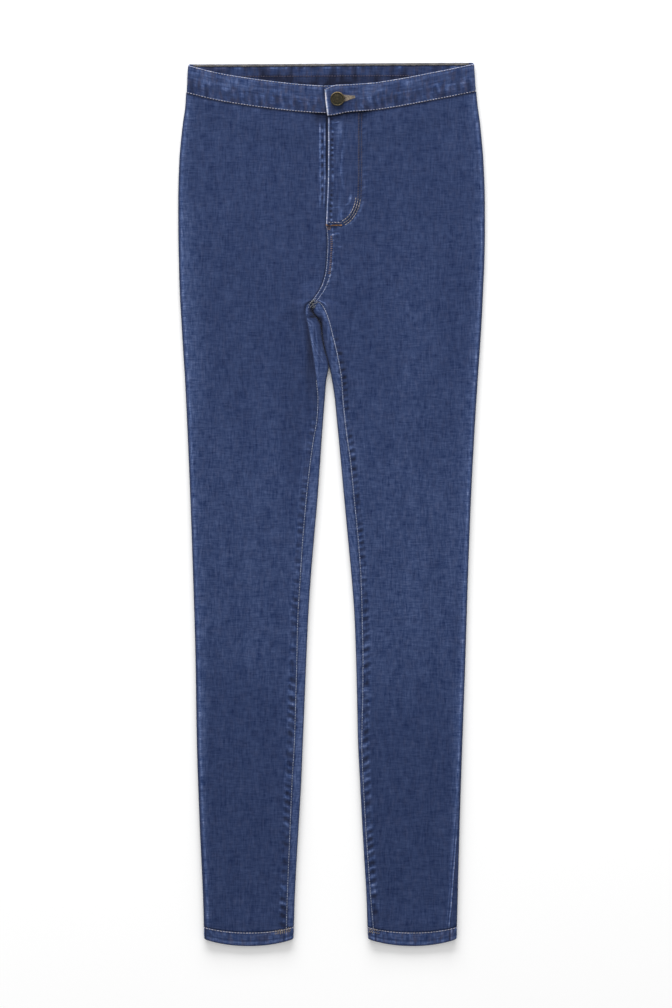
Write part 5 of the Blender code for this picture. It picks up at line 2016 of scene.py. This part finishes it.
def button_mesh():
    """A jeans button: a dished cap with a raised rim, on a shank through the buttonhole."""
    base = BAND_OVER_TOP + GAP
    under = BAND_UNDER_TOP + GAP
    inner_rim = BUTTON_RADIUS - mm(bpy.context.scene.jeans_metal.rim_width)
    rim_middle, rim_half = (inner_rim + BUTTON_RADIUS) / 2, (BUTTON_RADIUS - inner_rim) / 2
    face = [(inner_rim * t, FACE_HEIGHT - FACE_DOMING * t * t) for t in (0.0, 0.3, 0.6, 0.85)]
    face.append((inner_rim, FACE_FOOT))
    turns = np.radians(range(170, -1, -17))
    rim = [(rim_middle + rim_half * math.cos(a), RIM_FOOT + RIM_PROUD * math.sin(a)) for a in turns]
    side = [(BUTTON_RADIUS - inset, height) for inset, height in CAP_SIDE]
    neck = [(SHANK_RADIUS + 0.6, CAP_SIDE[-1][1]), (SHANK_RADIUS, -0.2)]
    profile = [(r, base + z) for r, z in face + rim + side + neck]
    shape = spun([*profile, (SHANK_RADIUS, under), (0.0, under)], BUTTON_STEPS)
    made = placed_shape("shank_button", shape, brass_material("Antique brass"))
    mesh = made.data
    mesh.transform(matrix_at(BUTTON_X, BUTTON_DOWN))
    mesh.shade_smooth()
    mesh.set_sharp_from_angle(angle=math.radians(55))
    corners = np.zeros(len(mesh.vertices) * 3)
    mesh.vertices.foreach_get("co", corners)
    x, y, z = corners.reshape(-1, 3).T * 1000 - [[BUTTON_X], [WAIST_Y - BUTTON_DOWN], [base]]
    # The rim is rubbed all round, and painted brighter towards the lamp as a highlight.
    rubbed_and_lit_side = 0.22 + 0.90 * rise(y, 1.0, 6.5)
    on_rim = stripe(np.hypot(x, y), rim_middle, rim_half) * rise(z, 2.2, 0.7)
    wear_and_highlight = 0.6 * on_rim * rubbed_and_lit_side
    mesh.attributes.new("wear_and_highlight", "FLOAT", "POINT").data.foreach_set("value", wear_and_highlight.astype(np.float32))
    return made


def matrix_at(x, down):
    """A move in metres to a place on the jeans."""
    return Matrix.Translation(Vector((x, WAIST_Y - down, 0)) * 0.001)


ZIP_CENTRE = 4.2
ZIP_START = 72.0
ZIP_END = 188.0
TAPE_HALF = 12.0
TAPE_LOW = 1.5
TAPE_TOP = 2.1
CHAIN_TOP = 3.3
TOOTH_SIZE = (2.9, 1.35, 1.0)
TOOTH_ASIDE = 0.85  # how far each row of teeth lies from the zip's middle
ZIP_BLOCKS = {
    # half width, down from and to, underside, top, rounding of the edges
    "tape": (TAPE_HALF, ZIP_START, ZIP_END, TAPE_LOW, TAPE_TOP, 0.15),
    "slider": (2.6, 73.0, 79.5, 1.7, 3.3, 0.5),
    "stop": (2.4, ZIP_END - 3.5, ZIP_END - 1.5, 1.8, 3.2, 0.3),
}


def teeth_tree():
    """Teeth on every step of the lines that it is given, each a small block."""
    sockets = {"Pitch": "NodeSocketFloat", "Tooth size": "NodeSocketVector"}
    sockets |= {"Material": "NodeSocketMaterial"}
    tree, given, out = new_tree("Zip teeth", sockets)
    tooth = add(tree, "GeometryNodeMeshCube", {"Size": given["Tooth size"]}).outputs[0]
    lay_on_lines(tree, given, out, {"Instance": tooth})
    return tree


def zip_block(name, material):
    """A block of the zip, with its edges rounded."""
    half, first, last, low, high, bevel = ZIP_BLOCKS[name]
    shape = bmesh.new()
    bmesh.ops.create_cube(shape, size=1.0)
    a = Vector((ZIP_CENTRE - half, WAIST_Y - last, low)) * 0.001
    b = Vector((ZIP_CENTRE + half, WAIST_Y - first, high)) * 0.001
    for vertex in shape.verts:
        vertex.co = Vector([a[k] if vertex.co[k] < 0 else b[k] for k in range(3)])
    bmesh.ops.bevel(shape, geom=shape.edges, offset=bevel * 0.001, segments=2, affect="EDGES")
    return placed_shape(name, shape, material)


def zip_mesh():
    """Tape, two rows of interlocked teeth, the slider at the top and the stop below."""
    metal = bpy.context.scene.jeans_metal
    brass = brass_material("Antique brass")
    tape = zip_block("tape", tape_material())
    chain_z = (TAPE_TOP + CHAIN_TOP - 0.25) / 2
    lines = []
    for side, shift in ((-1, 0.0), (1, mm(metal.tooth_pitch) / 2)):
        x = ZIP_CENTRE + side * TOOTH_ASIDE
        ends = [(x, ZIP_START + 8 + shift, chain_z), (x, ZIP_END - 4, chain_z)]
        lines.append([Vector((a, WAIST_Y - b, c)) * 0.001 for a, b, c in ends])
    teeth = lines_object("teeth", lines)
    modifier = teeth.modifiers.new("teeth", "NODES")
    modifier.node_group = teeth_tree()
    size = [v * 0.001 for v in TOOTH_SIZE]
    set_inputs(modifier, {"Pitch": float(metal.tooth_pitch), "Tooth size": size, "Material": brass})
    finished(teeth)
    return joined(
        "zip_fastener", [tape, teeth, zip_block("slider", brass), zip_block("stop", brass)]
    )


# ---- sewing
ACROSS = math.pi / 2  # the turn of a stitch that lies across its line


def seam_sewing(thread):
    """A row beside each inseam and the crotch seam, and the seat seam underneath."""
    right, left = LEGS
    inseams = [
        front_line(right, 0.3, np.linspace(378, LAST_ROW - 1, 560)),
        front_line(left, 0.5, np.linspace(CROTCH_DOWN + 3, LAST_ROW - 1, 620)),
    ]
    crotch = np.linspace(200, CROTCH_DOWN - 1, 90)
    seat = []
    for aside in (1.2, 6.6):
        row = np.linspace(38, CROTCH_DOWN - 1, 120)
        seat.append(points_of(seat_centre(row) + aside, row, np.full(row.shape, UNDERSIDE)))
    rungs = front_line(left, 4.4, np.linspace(206, 250, 70))
    lower_row = front_line(left, 5.5, np.linspace(244, CROTCH_DOWN - 2, 60))
    ladder = {"turn": ACROSS, "pitch": 0.0021, "width": 0.0009, "size": 0.0034, "wander": 0.2}
    knot = {"turn": 0.9, "pitch": 0.0016, "width": 0.0011, "size": 0.0026, "wander": 0.6}
    return [
        sew("inseam_rows", inseams, thread["lilac"], pitch=0.0031, width=0.0008, length=0.88),
        sew("crotch_row", [front_line(left, 0.3, crotch)], thread["lilac"], width=0.0007),
        sew("ladder", [rungs], thread["brown"], **ladder),
        sew("crotch_rows", [lower_row], thread["lilac"], width=0.0008),
        sew("crotch_knot", knot_lines(CROTCH_KNOT), thread["grey"], **knot),
        sew("crotch_loops", knot_lines(CROTCH_LOOPS), thread["lilac"], pitch=0.0026, width=0.0008),
        sew("seat_rows", seat, thread["sand"]),
    ]


# The thread where the four panels meet: (x, down) along each line of it.
CROTCH_KNOT = (
    ((-26.6, 287.4), (-24.0, 284.4), (-20.8, 282.6)),
    ((-24.6, 290.0), (-21.6, 286.6), (-17.6, 285.0)),
    ((-22.0, 291.0), (-19.4, 289.0)),
)
CROTCH_LOOPS = (
    ((-27.0, 290.5), (-25.6, 285.6), (-22.4, 281.8), (-19.0, 280.6)),
    ((-23.0, 283.6), (-20.4, 283.2), (-17.6, 283.0)),
)


def knot_lines(table):
    """Lines of thread that lie on the top of the folds at the crotch."""
    height = FOLD_HEIGHT + SEAM_RIDGE
    return [[Vector((x, WAIST_Y - down, height)) * 0.001 for x, down in line] for line in table]


def band_row(in_band, depth, keep):
    """A line on the band's outer skin, or this deep below it, where keep(path, run) says."""
    path, outward, run, over = band_frame()
    x, down = band_place(path, over, in_band)
    bulge = band_relief(run, np.full(x.shape, in_band), top_share(path[:, 1]))[0]
    move = -depth if depth > 0 else bulge + 0.1
    points = points_of(x + outward[:, 0] * move, down, path[:, 1] + outward[:, 1] * move)
    return points[keep(path, run)]


def waistband_sewing(thread):
    """A row along each edge of the band, the rows inside the back, and the buttonhole's stitches.
    """

    def all_but_end(path, run):
        return (run > 30) & (run < run[-1] - 0.8)

    def inside_back(path, run):
        return (path[:, 1] < 0.01) & (np.abs(path[:, 0]) < 158)

    def top_of_back(path, run):
        return (path[:, 1] < 0.01) & (np.abs(path[:, 0]) < 166)

    lower = band_row(BAND_HEIGHT - 0.3, 0, all_but_end)
    upper = band_row(0.9, 0, all_but_end)
    inner = BANDED + 0.05
    tight = {"turn": ACROSS, "pitch": 0.0010, "width": 0.0011, "size": 0.0036, "wander": 0.25}
    return [
        sew("lower_row", [lower], thread["pale"], pitch=0.0034, width=0.0011, length=0.76),
        sew("upper_row", [upper], thread["pale"], pitch=0.0034, width=0.0009),
        sew("back_row", [band_row(14.0, inner, inside_back)], thread["violet"], width=0.0010),
        sew("bound_edge", [band_row(1.7, inner + 0.1, top_of_back)], thread["olive"], **tight),
        *buttonhole_sewing(thread),
    ]


def buttonhole_sewing(thread):
    """Satin stitches round the keyhole: a wedge that tapers to the end of the slit."""
    height = BAND_OVER_TOP + 0.15
    reach = np.linspace(7.0, SLIT_LENGTH + 1.0, 14)
    half = 1.1 + 2.9 * ((reach[-1] - reach) / (reach[-1] - reach[0])) ** 1.3
    lines = []
    for inset in (0.0, 1.1, 2.2):
        for side in (-1, 1):
            kept = np.maximum(half - inset, 0.6)
            lines.append([buttonhole_point(a, side * b, height) for a, b in zip(reach, kept)])
    bar = [buttonhole_point(SLIT_LENGTH + 1.4, y, height) for y in (-1.3, 0.0, 1.3)]
    satin = {"turn": ACROSS, "pitch": 0.00062, "width": 0.00062, "size": 0.0016, "wander": 0.15}
    return [
        sew("hole_edges", lines, thread["beige"], **satin),
        sew("hole_bar", [bar], thread["beige"], **satin),
    ]


def across_fly(first, last, down, lift):
    """A line across the left front between two distances from its fold."""
    leg = LEGS[1]
    aside = leg.front_edge(down) + np.linspace(first, last, 24)
    x, at, z, _, _ = front_skin(leg, aside, np.full(aside.shape, down))
    return points_of(x, at, z + lift)


def fly_sewing(thread):
    """The J's rows, and the bar tacks that hold it."""
    straight = [j_line(width, 61, 163) for width in J_ROWS]
    curved = [j_line(width, 162 + k, 187.5 + 2.2 * k) for k, width in enumerate(J_CURVE_ROWS)]
    tack = across_fly(0.0, 18.6, BAR_TACK_DOWN - 0.2, 0.5)
    upper = across_fly(4.0, 17.6, BAR_TACK_DOWN - 3.4, 0.25)
    patch = [across_fly(0.6, 5.6 - 0.9 * k, BAR_TACK_DOWN + 2.0 + 1.5 * k, 0.2) for k in range(3)]
    satin = {"turn": ACROSS, "pitch": 0.0006, "width": 0.0007, "wander": 0.15}
    twisted = {"turn": 1.2, "pitch": 0.0019, "width": 0.0008, "size": 0.0024}
    return [
        sew("j_straight", straight, thread["plum"], **twisted),
        sew("j_curve", curved, thread["sand"], width=0.0009, length=1.1),
        sew("bar_tack", [tack], thread["tan"], size=0.0021, **satin),
        sew("tack_edge", [upper], thread["pale"], width=0.0008, length=0.95),
        sew("short_tack", patch, thread["brown"], size=0.0014, **satin),
    ]


def hem_line(leg, in_hem):
    """A line all round a hem, this far below its top edge."""
    points = hem_ring(leg, in_hem, -0.08)[0]
    return np.concatenate([points, points[:1]])


def hem_sewing(thread):
    """The row that holds each hem up, and the thread that knots at its seams."""
    rows = [hem_line(leg, 0.5) for leg in LEGS]
    knots = [hem_knots(LEGS[0], in_hem, 49.0, 67.0) for in_hem in (0.6, 3.2)]
    knots += [hem_knots(LEGS[1], in_hem, 44.5, 56.0) for in_hem in (1.4, 4.2)]
    zigzag = {"turn": 1.1, "pitch": 0.0021, "width": 0.0009, "size": 0.0036, "wander": 0.5}
    return [
        sew("hem_rows", rows, thread["pale"], pitch=0.0034, width=0.0010, length=0.95),
        sew("hem_knots", knots, thread["beige"], **zigzag),
    ]


def hem_knots(leg, in_hem, first, last):
    """The stretch of a hem that is sewn over twice, between two asides."""
    line = hem_line(leg, in_hem)
    aside = line[:, 0] * 1000 * leg.side
    return line[(aside > first) & (aside < last) & (line[:, 2] > 0.003)]


# ---- stage
FLOOR_Z = -0.00016
FLOOR_SIZE = 30.0
LAMP_SIZE = (4.0, 1.6)
LAMP_PLACE = (-0.4, 3.6, 1.3)  # behind the waist, so that the light rakes down the legs
SENSOR = 36.0
PICTURE = (672, 1008)


def floor_material(colour):
    """Matt pale card, with the faintest mottling."""
    made, tree, shader = new_material("Pale floor")
    place = add(tree, "ShaderNodeTexCoord").outputs["Object"]
    mottling = noise_node(tree, place, (3.0, 3.0, 3.0))
    light = math_node(tree, "MULTIPLY_ADD", mottling, 0.01, 1.0)
    lit = vector_node(tree, "SCALE", tuple(colour))
    tree.links.new(light, lit.inputs["Scale"])
    tree.links.new(lit.outputs[0], shader.inputs["Base Color"])
    shader.inputs["Roughness"].default_value = 0.95
    shader.inputs["Specular IOR Level"].default_value = 0.1
    return made


def set_stage(scene):
    """A pale floor under soft light, seen from straight above."""
    stage = scene.jeans_stage
    scene.view_settings.view_transform = "Standard"
    mesh = bpy.data.meshes.new("floor")
    half = FLOOR_SIZE / 2
    corners = [(-half, -half), (half, -half), (half, half), (-half, half)]
    mesh.from_pydata([(x, y, FLOOR_Z) for x, y in corners], [], [(0, 1, 2, 3)])
    mesh.materials.append(floor_material(stage.floor))
    placed("floor", mesh)

    world = bpy.data.worlds.new("Soft sky")
    world.use_nodes = True
    world.node_tree.nodes["Background"].inputs["Color"].default_value = (1, 1, 1, 1)
    world.node_tree.nodes["Background"].inputs["Strength"].default_value = stage.sky
    scene.world = world

    lamp = bpy.data.lights.new("Soft lamp", "AREA")
    lamp.shape = "RECTANGLE"
    lamp.size, lamp.size_y = LAMP_SIZE
    lamp.energy = stage.lamp
    lamp_object = placed("Soft lamp", lamp)
    lamp_object.location = LAMP_PLACE
    lamp_object.rotation_euler = (-lamp_object.location).to_track_quat("-Z", "Y").to_euler()

    camera = bpy.data.cameras.new("Camera")
    camera.lens = stage.lens
    camera.sensor_width = SENSOR
    shown_height = stage.shown_width * PICTURE[1] / PICTURE[0]
    distance = shown_height * stage.lens / SENSOR
    scene.camera = placed("Camera", camera)
    scene.camera.location = (stage.centre_x, stage.centre_y, distance + LAY_HEIGHT * 0.001)


# ---- add-on
CLASSES = (*SETTINGS.values(), *OPERATORS, JEANS_PT_maker)


def register():
    for made in CLASSES:
        bpy.utils.register_class(made)
    for name, group in SETTINGS.items():
        setattr(bpy.types.Scene, name, PointerProperty(type=group))


def unregister():
    for name in SETTINGS:
        delattr(bpy.types.Scene, name)
    for made in reversed(CLASSES):
        bpy.utils.unregister_class(made)


def main():
    register()
    bpy.ops.jeans.fronts()
    bpy.ops.jeans.backs()
    bpy.ops.jeans.waistband()
    bpy.ops.jeans.hems()
    bpy.ops.jeans.button()
    bpy.ops.jeans.zip()
    bpy.ops.jeans.stitching()
    bpy.ops.jeans.stage()


if __name__ == "__main__":
    main()
